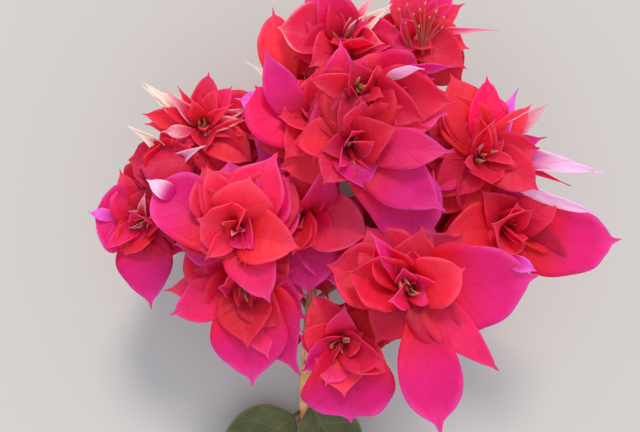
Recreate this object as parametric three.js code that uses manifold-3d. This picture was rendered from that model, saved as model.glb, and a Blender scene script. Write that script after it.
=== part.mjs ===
// A cut spray of double-flowered bougainvillea, lying on its back, in millimetres, +Z up.
// The side of the spray that is looked at faces up, its tip points along +Y, and the cut end
// of its woody stem points along -Y. Every bloom is one solid: a knot of crowded bracts with
// its long outer bracts as thin blades. Thin stalks carry the blooms off the stem, and two
// leaves sit on the stem near its cut end. The part rests on the blooms of its underside.

import * as THREE from 'three';
import { mergeVertices } from 'three/addons/utils/BufferGeometryUtils.js';
import Module from 'manifold-3d';

const wasm = await Module();
wasm.setup();

// Driving dimensions
const GAP = 0.3;                 // clearance between neighbouring pieces
const BRACT_THICKNESS = 2.6;     // a cupped, crinkled bract fills about this depth
const LEAF_THICKNESS = 2.2;      // a leaf with its fold and curl
const HEART_RADIUS = 11.5;       // the knot of short inner bracts round the true flowers
const HEART_FLATNESS = 0.85;     // its height, as a share of its breadth
const HEART_UNEVENNESS = 0.09;   // how far it swells and sinks, as a share of its radius
const HEART_DEPTH = 6;           // its middle lies this far below the mouth of the bloom
const BRACT_ARCH = 1.5;          // how far a bract bows up between its foot and its tip
const LEAST_BREADTH = 0.8;       // of a blade, at its tip
const STEM_FOOT_RADIUS = 2.7;
const STEM_TIP_RADIUS = 1.3;
const STEM_CUT_Y = -103;         // the flat cut through the stem
const STALK_FOOT_RADIUS = 1.25;
const STALK_TIP_RADIUS = 0.85;
const STALK_END = 0.72;          // how far from a bloom's middle its stalk ends, of its radius
const STALK_DROP = 0.35;         // how far below its bloom a stalk leaves, of its own length
const STALK_SAG = 2;             // how far a stalk bends away from the way its bloom faces
const BARE_STEM = 0.34;          // the share of the stem, from its foot, that bears no stalk
const LEAF_ARCH = 1.25;          // how far a leaf bows up in the middle
const SPRAY_SHIFT = [-12, 16.7, 0];   // puts the middle of the spray's box over the origin

// Colours, each with its roughness
const MAGENTA = { color: 0xd92a82, roughness: 0.55 };
const CORAL = { color: 0xe8344c, roughness: 0.55 };
const STEM_WOOD = { color: 0x8b6038, roughness: 0.8 };
const STALK_RED = { color: 0x7c3a2c, roughness: 0.7 };
const LEAF_GREEN = { color: 0x55702c, roughness: 0.5 };

// The blooms of the upper side. at is the middle of the mouth. Each bract is
// [clock, reach, breadth, rise, slide, start, roll]: the direction it points in, in degrees
// counted from +X towards +Y, how far out its tip is, its breadth, how far its tip is above
// the mouth, and where its foot isn't at the middle: how far it is set off to the left of its
// own direction, where along it it starts, and how far it is turned on edge, in degrees.
const UPPER_BLOOMS = [
  { name: 'upper_left', at: [-42, 32, 78], tint: CORAL, bracts: [
    [79, 19, 10, 2], [51, 18, 9, 1], [120, 16, 6, 3], [147, 26, 7, -2], [182, 26, 4, -4],
    [27, 14, 7, 2], [19, 18, 7, -2], [172, 18, 9, -2], [325, 22, 15, -4]] },
  { name: 'left_cup', at: [-54, 18, 78], tint: CORAL, bracts: [
    [160, 13, 17, 6], [215, 12, 16, 2], [95, 10, 17, 2], [28, 15, 5, 2]] },
  { name: 'far_left', at: [-65, -2, 72], tint: MAGENTA, bracts: [
    [170, 18, 19, -2], [110, 17, 18, 0], [221, 16, 8, 2], [275, 33, 18, -6], [307, 18, 14, -6]] },
  { name: 'centre_left', at: [-28, -5, 94], tint: CORAL, bracts: [
    [150, 30, 22, -8], [185, 22, 16, -8], [114, 24, 12, 2], [74, 19, 18, 6], [63, 30, 20, -6],
    [297, 26, 14, -2], [345, 22, 17, -2], [223, 14, 7, 3]] },
  { name: 'lower_left', at: [-27, -24, 84], tint: MAGENTA, bracts: [
    [186, 28, 13, -8], [210, 25, 13, -8], [272, 35, 20, -8], [276, 22, 19, 2], [292, 30, 9, -4],
    [296, 39, 15, -10], [330, 24, 16, -9]] },
  { name: 'middle', at: [-7, 1, 82], tint: CORAL, bracts: [
    [90, 18, 9, 2, -10, -6], [318, 17, 12, 0], [82, 20, 12, 4], [115, 16, 13, 2],
    [276, 30, 22, -6], [296, 29, 13, -4], [5, 22, 18, -8], [338, 30, 16, -10]] },
  { name: 'upper_centre_left', at: [1, 34, 88], tint: MAGENTA, bracts: [
    [110, 29, 12, 0, 11, -8], [139, 26, 22, -6, 15, 0], [95, 25, 10, 4, -8, 1], [98, 16, 11, 6],
    [229, 20, 14, 2], [262, 22, 16, -6], [308, 14, 11, 0], [148, 32, 4, -4, -1, 12]] },
  { name: 'top_left', at: [9, 63, 76], tint: CORAL, bracts: [
    [106, 18, 15, -8, 22, -10], [169, 25, 17, -3], [220, 17, 15, 4], [129, 24, 15, -8],
    [101, 18, 12, 0], [37, 21, 5, 0], [331, 16, 13, -4]] },
  { name: 'top_right', at: [35, 66, 74], tint: CORAL, bracts: [
    [116, 19, 10, -2], [67, 19, 12, -5], [36, 23, 10, -6], [3, 31, 4, -4], [324, 22, 14, -2],
    [221, 14, 8, 0]] },
  { name: 'centre_top', at: [15, 41, 96], tint: CORAL, bracts: [
    [0, 30, 9, 0, 8, -1, 70], [12, 24, 14, 2], [333, 22, 15, 3], [355, 31, 17, -6],
    [118, 11, 10, 2], [237, 17, 11, 0]] },
  { name: 'centre', at: [10, 23, 100], tint: MAGENTA, bracts: [
    [356, 34, 12, 0], [325, 38, 17, -6], [315, 44, 20, -13], [290, 16, 14, -2], [20, 16, 14, 5],
    [190, 10, 9, 0]] },
  { name: 'right', at: [57, 22, 84], tint: CORAL, bracts: [
    [88, 26, 9, -6], [61, 25, 3, -4], [46, 23, 9, -2], [38, 28, 8, -6], [11, 22, 8, -8],
    [122, 27, 17, -6], [222, 24, 14, -4], [260, 26, 15, -8], [325, 23, 15, 0],
    [351.5, 46, 8, -12],
    [332, 47, 7, -9, 0, 1, 50]] },
  { name: 'far_right', at: [68, -3, 80], tint: MAGENTA, bracts: [
    [356, 39, 27, -8], [29, 18, 13, 0], [135, 17, 13, 3], [188, 27, 16, 2], [245, 15, 13, 3]] },
  { name: 'lower_right', at: [30, -24, 98], tint: MAGENTA, bracts: [
    [128, 20, 12, 5], [165, 22, 17, 2], [124, 25, 4, 7, 0, 1, 60], [80, 21, 16, 0],
    [24, 19, 14, 8], [4, 46, 30, -3], [317, 41, 13, -6], [281, 50, 24, -2], [310, 27, 16, -2]] },
  { name: 'lower_centre', at: [7, -45, 82], tint: CORAL, bracts: [
    [84, 15, 11, 5], [278, 27, 29, -6], [334, 20, 12, 3], [160, 15, 12, 1], [215, 17, 14, -2],
    [36, 22, 13, -2], [118, 20, 14, -5]] },
];

// The blooms of the sides and the underside all follow one rule: outer bracts spread evenly
// round the way the bloom faces.
const RULED_BRACTS = 5;
const RULED_BREADTH = 0.6;       // of the length
const RULED_RISE = -0.12;        // of the length
const RULED_SHORTER = 0.88;      // every other bract is this share of the length
const OTHER_BLOOMS = [
  { name: 'side_left', at: [-46, 2, 44], facing: [-0.95, 0, -0.1], length: 21, turn: 10 },
  { name: 'side_upper_left', at: [-32, 32, 46], facing: [-0.6, 0.75, -0.1], length: 24, turn: 40 },
  { name: 'side_top', at: [2, 56, 42], facing: [-0.1, 0.95, -0.2], length: 24, turn: 0 },
  { name: 'side_upper_right', at: [50, 36, 46], facing: [0.75, 0.6, -0.1], length: 25, turn: 20 },
  { name: 'side_right', at: [60, -2, 44], facing: [0.95, -0.2, -0.1], length: 26, turn: 50 },
  { name: 'side_lower', at: [20, -36, 50], facing: [0.35, -0.9, 0], length: 24, turn: 15 },
  { name: 'back_left', at: [-32, -8, 7.5], facing: [-0.35, -0.25, -0.9], length: 25, turn: 30 },
  { name: 'back_upper', at: [-2, 38, 6], facing: [-0.1, 0.3, -0.95], length: 27, turn: 5 },
  { name: 'back_right', at: [36, 2, 6], facing: [0.3, -0.1, -0.95], length: 28, turn: 55 },
];

// The stem, from its cut end to its tip, and the two leaves near the cut end
const STEM_PATH = [[-7, -112, 1.6], [-7, -88, 5], [-6, -66, 17], [-4, -38, 33], [0, -6, 46],
  [5, 26, 51], [10, 48, 52]];
const LEAVES = [
  { name: 'leaf_left', along: 0.16, clock: 216, length: 50, breadth: 30, rise: 2 },
  { name: 'leaf_right', along: 0.2, clock: 303, length: 45, breadth: 27, rise: 4 },
];

// The breadth of a blade at its foot, waist, shoulder and tip, and where those lie along it
const BLADE_STATIONS = [0, 0.45, 0.74, 1];
const BLADE_BREADTHS = [0.4, 1, 0.72, 0.04];
const LEAF_BREADTHS = [0.08, 1, 0.76, 0.05];

const degrees = THREE.MathUtils.degToRad;
const vector = (values) => new THREE.Vector3(...values);

// Turns a closed three.js geometry into a solid that can be cut and joined.
function solidOf(geometry) {
  const bare = geometry.clone();
  bare.deleteAttribute('normal');
  bare.deleteAttribute('uv');
  const merged = mergeVertices(bare, 1e-4);
  return new wasm.Manifold(new wasm.Mesh({
    numProp: 3,
    vertProperties: Float32Array.from(merged.attributes.position.array),
    triVerts: Uint32Array.from(merged.index.array),
  }));
}

// Turns a solid back into a three.js geometry.
function geometryOf(solid) {
  const mesh = solid.getMesh();
  const geometry = new THREE.BufferGeometry();
  geometry.setAttribute('position', new THREE.BufferAttribute(mesh.vertProperties, 3));
  geometry.setIndex(new THREE.BufferAttribute(mesh.triVerts, 1));
  geometry.computeVertexNormals();
  return geometry;
}

// Keeps the largest body of a solid that a cut may have left in pieces.
function largestBody(solid) {
  const bodies = solid.decompose();
  return bodies.reduce((best, body) => (body.volume() > best.volume() ? body : best));
}

// The bloom's own axes: out is the way it faces, and the clock angles turn from right to up.
function axesOf(facing) {
  const out = vector(facing).normalize();
  const guide = Math.abs(out.z) > 0.95 ? new THREE.Vector3(0, 1, 0) : new THREE.Vector3(0, 0, 1);
  const right = new THREE.Vector3().crossVectors(guide, out).normalize();
  const up = new THREE.Vector3().crossVectors(out, right);
  return { right, up, out };
}

// A blade through a row of centres, each with its own breadth, broad along side.
function blade(centres, breadths, side, face, thickness) {
  const steps = centres.length - 1;
  const geometry = new THREE.BoxGeometry(1, 1, 1, 1, steps, 1);
  const position = geometry.attributes.position;
  for (let i = 0; i < position.count; i += 1) {
    const step = Math.round((position.getY(i) + 0.5) * steps);
    const point = centres[step].clone();
    point.addScaledVector(side, position.getX(i) * breadths[step]);
    point.addScaledVector(face, position.getZ(i) * thickness);
    position.setXYZ(i, point.x, point.y, point.z);
  }
  const solid = solidOf(geometry);
  return solid.volume() > 0 ? solid : solidOf(flipped(geometry));
}

// The same geometry with its faces turned over.
function flipped(geometry) {
  const index = geometry.index.array;
  for (let i = 0; i < index.length; i += 3) {
    [index[i], index[i + 1]] = [index[i + 1], index[i]];
  }
  return geometry;
}

// One outer bract of a bloom, rooted in the middle of its heart. grow adds clearance round it.
function bractBlade(bloom, axes, row, grow) {
  const [clock, reach, breadth, rise, slide = 0, start = 0, roll = 0] = row;
  const turn = degrees(clock);
  const ahead = axes.right.clone().multiplyScalar(Math.cos(turn))
    .addScaledVector(axes.up, Math.sin(turn));
  const left = new THREE.Vector3().crossVectors(axes.out, ahead);
  const heart = vector(bloom.at).addScaledVector(axes.out, -HEART_DEPTH);
  const foot = vector(bloom.at).addScaledVector(axes.out, -HEART_DEPTH / 2)
    .addScaledVector(ahead, start).addScaledVector(left, slide);
  const tip = vector(bloom.at).addScaledVector(axes.out, rise)
    .addScaledVector(ahead, reach + grow).addScaledVector(left, slide);
  const centres = BLADE_STATIONS.map((along, step) => {
    const arch = BRACT_ARCH * 4 * along * (1 - along);
    return step === 0 ? heart : foot.clone().lerp(tip, along).addScaledVector(axes.out, arch);
  });
  const side = left.clone().multiplyScalar(Math.cos(degrees(roll)))
    .addScaledVector(axes.out, Math.sin(degrees(roll)));
  const face = new THREE.Vector3().crossVectors(ahead, side);
  const breadths = BLADE_BREADTHS.map((share) => Math.max(share * breadth, LEAST_BREADTH) + 2 * grow);
  return blade(centres, breadths, side, face, BRACT_THICKNESS + 2 * grow);
}

// The knot of inner bracts: an uneven ball, flattened along the way the bloom faces.
function heartSolid(bloom, axes, grow) {
  const geometry = new THREE.SphereGeometry(1, 6, 4);
  const position = geometry.attributes.position;
  const middle = vector(bloom.at).addScaledVector(axes.out, -HEART_DEPTH);
  for (let i = 0; i < position.count; i += 1) {
    const [x, y, z] = [position.getX(i), position.getY(i), position.getZ(i)];
    const swell = Math.sin(5 * x + bloom.at[0]) * Math.cos(4 * y + bloom.at[1]);
    const radius = HEART_RADIUS * (1 + HEART_UNEVENNESS * swell) + grow;
    const point = middle.clone().addScaledVector(axes.right, x * radius)
      .addScaledVector(axes.up, y * radius)
      .addScaledVector(axes.out, z * radius * HEART_FLATNESS);
    position.setXYZ(i, point.x, point.y, point.z);
  }
  return solidOf(geometry);
}

// The outer bracts of a bloom that follows the rule.
function ruledBracts({ length, turn }) {
  return Array.from({ length: RULED_BRACTS }, (_, i) => {
    const own = length * (i % 2 ? RULED_SHORTER : 1);
    return [turn + (360 / RULED_BRACTS) * i, own, own * RULED_BREADTH, own * RULED_RISE];
  });
}

const blooms = [
  ...UPPER_BLOOMS.map((bloom) => ({ facing: [0, 0, 1], ...bloom })),
  ...OTHER_BLOOMS.map((bloom) => ({ tint: MAGENTA, bracts: ruledBracts(bloom), ...bloom })),
];

// A bloom before its neighbours are cut off it.
function wholeBloom(bloom, grow) {
  const axes = axesOf(bloom.facing);
  let solid = heartSolid(bloom, axes, grow);
  for (const row of bloom.bracts) {
    solid = solid.add(bractBlade(bloom, axes, row, grow));
  }
  return solid;
}

// A round limb that tapers along a curve, with clearance all round it and past its tip.
function limb(curve, footRadius, tipRadius, sides, steps, grow) {
  const radii = [tipRadius + grow, footRadius + grow];
  const geometry = new THREE.CylinderGeometry(...radii, 1, sides, steps);
  const frames = curve.computeFrenetFrames(steps, false);
  const position = geometry.attributes.position;
  for (let i = 0; i < position.count; i += 1) {
    const along = position.getY(i) + 0.5;
    const step = Math.round(along * steps);
    const point = curve.getPointAt(along)
      .addScaledVector(frames.normals[step], position.getX(i))
      .addScaledVector(frames.binormals[step], position.getZ(i))
      .addScaledVector(frames.tangents[step], step === steps ? grow : 0);
    position.setXYZ(i, point.x, point.y, point.z);
  }
  const solid = solidOf(geometry);
  return solid.volume() > 0 ? solid : solidOf(flipped(geometry));
}

// The stem, with clearance all round it where grow says so, and with a flat cut at its foot.
const stemCurve = new THREE.CatmullRomCurve3(STEM_PATH.map(vector));
function stemSolid(grow) {
  const whole = limb(stemCurve, STEM_FOOT_RADIUS, STEM_TIP_RADIUS, 8, 11, grow);
  return whole.trimByPlane([0, 1, 0], STEM_CUT_Y - grow).trimByPlane([0, 0, 1], 0);
}

// Where a stalk leaves the stem: below its bloom, by a share of its distance from the stem.
function stalkFoot(bloom) {
  const middle = vector(bloom.at);
  let nearest = 0;
  for (let along = 0; along <= 1; along += 0.02) {
    if (stemCurve.getPointAt(along).distanceTo(middle)
      < stemCurve.getPointAt(nearest).distanceTo(middle)) {
      nearest = along;
    }
  }
  const distance = stemCurve.getPointAt(nearest).distanceTo(middle);
  return Math.max(nearest - (STALK_DROP * distance) / stemCurve.getLength(), BARE_STEM);
}

function stalkSolid(bloom, grow) {
  const foot = stemCurve.getPointAt(stalkFoot(bloom));
  const axes = axesOf(bloom.facing);
  const middle = vector(bloom.at).addScaledVector(axes.out, -HEART_DEPTH);
  const tip = middle.clone().addScaledVector(axes.out, -HEART_RADIUS * STALK_END);
  const bend = foot.clone().lerp(tip, 0.55).addScaledVector(axes.out, -STALK_SAG);
  const curve = new THREE.QuadraticBezierCurve3(foot, bend, tip);
  return limb(curve, STALK_FOOT_RADIUS, STALK_TIP_RADIUS, 4, 2, grow);
}

function leafSolid({ along, clock, length, breadth, rise }) {
  const foot = stemCurve.getPointAt(along);
  const turn = degrees(clock);
  const ahead = new THREE.Vector3(Math.cos(turn), Math.sin(turn), 0);
  const tip = foot.clone().addScaledVector(ahead, length);
  tip.z += rise;
  const centres = BLADE_STATIONS.map((share) => {
    const point = foot.clone().lerp(tip, share);
    point.z += LEAF_ARCH * 4 * share * (1 - share);
    return point;
  });
  const side = new THREE.Vector3(-ahead.y, ahead.x, 0);
  const breadths = LEAF_BREADTHS.map((share) => share * breadth);
  return blade(centres, breadths, side, new THREE.Vector3(0, 0, 1), LEAF_THICKNESS);
}

const spray = new THREE.Group();
spray.position.set(...SPRAY_SHIFT);

function addPiece(name, solid, finish) {
  const material = new THREE.MeshStandardMaterial({ ...finish, metalness: 0 });
  const mesh = new THREE.Mesh(geometryOf(largestBody(solid)), material);
  mesh.name = name;
  spray.add(mesh);
}

addPiece('stem', stemSolid(0), STEM_WOOD);

// Each stalk is cut off the stem and off the stalks that were there before it.
const stalkHollows = [];
for (const bloom of blooms) {
  let stalk = stalkSolid(bloom, 0).subtract(stemSolid(GAP));
  for (const hollow of stalkHollows) {
    stalk = stalk.subtract(hollow);
  }
  addPiece(`stalk_${bloom.name}`, stalk, STALK_RED);
  stalkHollows.push(stalkSolid(bloom, GAP));
}

// The upper blooms come first, and each bloom is cut where a bloom before it already lies. It is
// also hollowed for the stem and for every stalk that runs into it or past it.
const takenRoom = [stemSolid(GAP), ...stalkHollows];
for (const bloom of [...blooms].sort((a, b) => b.at[2] - a.at[2])) {
  let solid = wholeBloom(bloom, 0).trimByPlane([0, 0, 1], 0);
  for (const taken of takenRoom) {
    solid = solid.subtract(taken);
  }
  addPiece(`bloom_${bloom.name}`, solid, bloom.tint);
  takenRoom.push(wholeBloom(bloom, GAP));
}

for (const leaf of LEAVES) {
  addPiece(leaf.name, leafSolid(leaf).subtract(stemSolid(GAP)), LEAF_GREEN);
}

export default spray;
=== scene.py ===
# %% [markdown]
# A cut flowering spray of double bougainvillea, lying on its back on a pale table. What looks
# like petals are bracts, which are coloured leaves as thin as paper. They stand in crowded
# whorls round a heart of tiny young bracts, and each such bloom sits on a thin stalk of its own.
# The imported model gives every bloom, stalk, leaf and stem its place and size. This script loads
# it first, because everything that is grown here stays where those solids are.

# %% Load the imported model
import math
import random

import bpy
import numpy as np
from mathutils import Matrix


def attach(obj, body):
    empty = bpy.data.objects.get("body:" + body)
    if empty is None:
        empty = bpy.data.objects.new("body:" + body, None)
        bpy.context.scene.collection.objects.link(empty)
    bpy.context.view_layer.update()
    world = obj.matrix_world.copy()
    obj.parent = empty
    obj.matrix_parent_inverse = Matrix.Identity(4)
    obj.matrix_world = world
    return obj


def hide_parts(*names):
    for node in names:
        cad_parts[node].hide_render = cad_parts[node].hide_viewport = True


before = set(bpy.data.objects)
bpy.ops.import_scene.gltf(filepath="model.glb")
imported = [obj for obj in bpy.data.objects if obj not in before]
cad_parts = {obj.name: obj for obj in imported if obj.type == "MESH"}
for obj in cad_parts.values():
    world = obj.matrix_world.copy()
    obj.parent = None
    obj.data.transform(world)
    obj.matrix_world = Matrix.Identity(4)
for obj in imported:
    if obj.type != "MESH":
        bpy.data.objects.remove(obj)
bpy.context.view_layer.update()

MM = 0.001
print("nodes in the frame:", len(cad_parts))

# %% [markdown]
# The camera looks straight down on the spray from 36 cm, with the cut end of the stem at the
# lower edge of the picture. It comes first, so that every later step can be looked at. The
# middle of the flower head lies a little off the part's origin, and the camera hangs over it.

# %% Camera
HEAD = np.array((-12.0, 16.7, 0.0))       # the middle of the head, in the part's frame, mm
CAMERA_HEIGHT = 361.0
FOCAL_LENGTH = 45.0
FILM_WIDTH = 36.0


def put(name, data):
    """Puts an object with that name and data into the scene."""
    thing = bpy.data.objects.new(name, data)
    bpy.context.scene.collection.objects.link(thing)
    return thing


camera = put("camera", bpy.data.cameras.new("camera"))
camera.data.lens = FOCAL_LENGTH
camera.data.sensor_width = FILM_WIDTH
camera.data.clip_start = 10 * MM
camera.location = (HEAD + (0.0, 0.0, CAMERA_HEIGHT)) * MM
bpy.context.scene.camera = camera
print("camera at", [round(v, 4) for v in camera.location])

# %% [markdown]
# Both the shapes and the finishes are made of nodes. One small function adds a node to a tree,
# with its settings and with a value or a link for each of its inputs, and hands back the output
# that the next node is linked to. Colours are written as the hex values that a colour picker
# shows, and a second function turns them into the linear numbers that a shader wants. A third
# starts a material with no nodes in it.

# %% Helpers for trees of nodes
def add(tree, kind, inputs=(), output=None, **settings):
    """Adds a node. inputs gives each socket a value, or the output that is linked to it."""
    node = tree.nodes.new(kind)
    for name, value in settings.items():
        setattr(node, name, value)
    for key, value in dict(inputs).items():
        if isinstance(value, bpy.types.NodeSocket):
            tree.links.new(value, node.inputs[key])
        else:
            node.inputs[key].default_value = value
    live = [socket for socket in node.outputs if socket.enabled]
    return node.outputs[output] if output else (live[0] if live else None)


def colour(hexa):
    """Turns a hex value in sRGB into linear red, green, blue and a full alpha."""
    parts = [int(hexa[i:i + 2], 16) / 255 for i in (0, 2, 4)]
    return [p / 12.92 if p <= 0.04045 else ((p + 0.055) / 1.055) ** 2.4 for p in parts] + [1.0]


def new_material(name):
    """A material and its tree, which has no nodes yet."""
    material = bpy.data.materials.new(name)
    material.use_nodes = True
    material.node_tree.nodes.clear()
    return material, material.node_tree


print("magenta in linear numbers:", [round(c, 3) for c in colour("E0287E")])

# %% [markdown]
# A bract is paper-thin and lets light through. Its pigment lets red pass and throws back more
# blue, so light that comes through it is scarlet, while light off its face is magenta. That is
# why the shader mixes two: a Principled one for the face, which is faintly waxy, and a
# Translucent one for the glow, in a redder colour. The tint runs from the foot of the bract to
# its tip, so it reads where a point lies along and across its own bract, which the mesh carries
# as two attributes. The paler, bluer tip is partly the bract's own colour and partly painted sky
# reflection, and the paler edge is painted rim light. Each finish is one plain colour scheme,
# dealt out bract by bract. Some finishes are painted light: a darker red for bracts in shade, a
# pale rim for lit edges, and pale lilac, violet and white for the glare of the sky.

# %% Finishes of the bracts
# Papery bract, matt with a faint wax: the colour at the foot, of the blade and at the tip, the
# colour of the light that comes through, and the shares of its length at which the blade's and
# the tip's colour take over
FINISHES = {
    "magenta": ("E0204E", "E02496", "EA58C6", "FF2484", 0.42, 0.82),
    "pink": ("E2244E", "EE3082", "F25CB6", "FF3074", 0.38, 0.82),
    "hot": ("E00C44", "FA0E74", "FF3498", "FF2070", 0.3, 0.82),
    "coral": ("DE2A48", "F03C66", "F45C8C", "FF3C62", 0.35, 0.78),
    "scarlet": ("D42242", "E62C58", "EC487C", "FF2C52", 0.35, 0.8),
    # painted shade: a darker copy of the red, for bracts in the shade of others
    "shaded_crimson": ("BE1C3E", "D42656", "DC4074", "FA2050", 0.35, 0.8),
    # painted highlight: a pale tip and edge where light catches the rim
    "rim_lit": ("D01C40", "E8346C", "FCC4DC", "FF3870", 0.35, 0.88),
    "pale": ("E03460", "F474A0", "FADCEA", "FF6488", 0.35, 0.6),
    "cream": ("E8607C", "F4DCD4", "FCFAF0", "FFE8DC", 0.25, 0.45),
    # the next three are painted reflection: the pale glare of the sky off the wax
    "glare_lilac": ("D01C94", "FFF0FF", "FFF8FF", "FA98E0", 0.45, 0.6),
    "glare_violet": ("D01868", "E850C8", "F88CFA", "FC5CD0", 0.35, 0.6),
    "glare_white": ("F080D0", "FFF4FF", "FFECFF", "FCB0EC", 0.25, 0.85),
    "young": ("98543A", "B8844C", "DCC890", "D08C48", 0.3, 0.6),
}
FINISH_NUMBER = {name: number for number, name in enumerate(FINISHES)}

SIDE_VEIN_SPACING = 0.085                 # of the length of a bract
VEIN_SLANT = 0.2                          # of the length, that a vein runs on to reach the edge
VEIN_MESH = 1.5                           # mm between the finest veins
MOTTLE_SIZE = 9.0                         # mm
GLOW_SHARE = 0.62                         # of the light goes through a bract
VEIN_STAIN = 0.14                         # of the foot's colour in the veins


def bract_material(name, foot, blade, tip, glow, blade_from, tip_from):
    """Papery bract: a waxy face over a translucent blade, with sunken veins and a painted rim
    light.
    """
    material, tree = new_material("papery bract, " + name)
    along, across, tint = [add(tree, "ShaderNodeAttribute", output="Fac", attribute_name=key)
                           for key in ("along", "across", "tint")]
    off_rib = add(tree, "ShaderNodeMath", {0: across}, operation="ABSOLUTE")
    place = add(tree, "ShaderNodeTexCoord", output="Object")

    # Foot to blade, blade to tip, and a paler edge, which is painted rim light; the tip's paler,
    # bluer colour is partly the bract's own and partly painted sky reflection
    low = add(tree, "ShaderNodeMapRange", {"Value": along, "From Min": blade_from - 0.2,
                                           "From Max": blade_from + 0.2},
              interpolation_type="SMOOTHSTEP")
    edge = add(tree, "ShaderNodeMath", {0: off_rib, 1: 6.0}, operation="POWER")
    reach = add(tree, "ShaderNodeMath", {0: edge, 1: 0.35, 2: along}, operation="MULTIPLY_ADD")
    high = add(tree, "ShaderNodeMapRange", {"Value": reach, "From Min": tip_from - 0.12,
                                            "From Max": tip_from + 0.22},
               interpolation_type="SMOOTHSTEP")
    base = add(tree, "ShaderNodeMix", {"Factor": low, "A": colour(foot), "B": colour(blade)},
               data_type="RGBA")
    face = add(tree, "ShaderNodeMix", {"Factor": high, "A": base, "B": colour(tip)},
               data_type="RGBA")

    # Side veins leave the rib at a slant, and a fine net lies between them
    slant = add(tree, "ShaderNodeMath", {0: off_rib, 1: -VEIN_SLANT, 2: along},
                operation="MULTIPLY_ADD")
    count = add(tree, "ShaderNodeMath", {0: slant, 1: 1.0 / SIDE_VEIN_SPACING},
                operation="MULTIPLY")
    swing = add(tree, "ShaderNodeMath", {0: count, 1: 1.0}, operation="PINGPONG")
    side_vein = add(tree, "ShaderNodeMapRange", {"Value": swing, "From Max": 0.3})
    rib = add(tree, "ShaderNodeMapRange", {"Value": off_rib, "From Max": 0.07})
    net = add(tree, "ShaderNodeTexVoronoi", {"Vector": place, "Scale": 1.0 / (VEIN_MESH * MM)},
              feature="DISTANCE_TO_EDGE")
    fine = add(tree, "ShaderNodeMapRange", {"Value": net, "From Max": 0.22})
    veins = add(tree, "ShaderNodeMath", {0: side_vein, 1: rib}, operation="MINIMUM")
    relief = add(tree, "ShaderNodeMath", {0: fine, 1: 0.4, 2: veins}, operation="MULTIPLY_ADD")

    # The veins are redder than the blade between them
    stain = add(tree, "ShaderNodeMath", {0: veins, 1: -VEIN_STAIN, 2: VEIN_STAIN},
                operation="MULTIPLY_ADD")
    face = add(tree, "ShaderNodeMix", {"Factor": stain, "A": face, "B": colour(foot)},
               data_type="RGBA")

    # Older and younger bracts differ a little, and no blade is quite even
    mottle = add(tree, "ShaderNodeTexNoise", {"Vector": place, "Scale": 1.0 / (MOTTLE_SIZE * MM),
                                              "Detail": 3.0}, output="Fac")
    value = add(tree, "ShaderNodeMath", {0: tint, 1: 0.1, 2: 0.9}, operation="MULTIPLY_ADD")
    value = add(tree, "ShaderNodeMath", {0: mottle, 1: 0.2, 2: value}, operation="MULTIPLY_ADD")
    value = add(tree, "ShaderNodeMath", {0: veins, 1: 0.04, 2: value}, operation="MULTIPLY_ADD")
    hue = add(tree, "ShaderNodeMath", {0: tint, 1: 0.008, 2: 0.5}, operation="MULTIPLY_ADD")
    shown = add(tree, "ShaderNodeHueSaturation", {"Hue": hue, "Value": value, "Color": face})
    through = add(tree, "ShaderNodeMix", {"Factor": 0.7, "A": shown, "B": colour(glow)},
                  data_type="RGBA")

    bump = add(tree, "ShaderNodeBump", {"Height": relief, "Strength": 0.4,
                                        "Distance": 0.2 * MM})
    surface = add(tree, "ShaderNodeBsdfPrincipled", {
        "Base Color": shown, "Roughness": 0.5, "Specular IOR Level": 0.35, "Normal": bump,
        "Sheen Weight": 0.15, "Sheen Roughness": 0.35, "Sheen Tint": colour("F8B8F0")})
    glowing = add(tree, "ShaderNodeBsdfTranslucent", {"Color": through, "Normal": bump})
    both = add(tree, "ShaderNodeMixShader", {0: GLOW_SHARE, 1: surface, 2: glowing})
    add(tree, "ShaderNodeOutputMaterial", {"Surface": both})
    return material


BRACT_MATERIALS = [bract_material(name, *scheme) for name, scheme in FINISHES.items()]
print("bract finishes:", ", ".join(FINISHES))

# %% [markdown]
# Every bract has a rib, which is a curve, and a blade on both sides of it. A sweep gives just
# that: Geometry Nodes turn each row of points into a curve and carry a flat line along it, as
# broad as the blade is there. The line is then bent into a shallow trough, and noise crinkles it,
# more at the edge than at the rib. Each point brings its own breadth, trough, fold and seed
# along, so one tree makes all the bracts of a bloom at once, and the leaves too. Modelling each
# by hand would be slow, and a cloth simulation would lose the places that the model gives them.

# %% A tree that sweeps a blade along its rib
EDGE_SHARE = 0.75                         # of the crinkle is at the edge of a blade, not its rib
WELD = 0.04 * MM                          # joins the points where a blade ends in its tip
CREASE = 0.1                              # softness of the fold along the rib


def sockets(tree, wanted):
    """Gives a tree its named inputs and its one output, and returns the outputs to link from."""
    for name, kind in wanted.items():
        tree.interface.new_socket(name, in_out="INPUT", socket_type="NodeSocket" + kind)
    tree.interface.new_socket("Geometry", in_out="OUTPUT", socket_type="NodeSocketGeometry")
    return tree.nodes.new("NodeGroupInput").outputs


def finish_tree(tree, geometry, material):
    """Every tree ends alike: nothing stays an instance, and the material is set."""
    real = add(tree, "GeometryNodeRealizeInstances", {"Geometry": geometry})
    painted = add(tree, "GeometryNodeSetMaterial", {"Geometry": real, "Material": material})
    add(tree, "NodeGroupOutput", {0: painted})
    return tree


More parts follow.
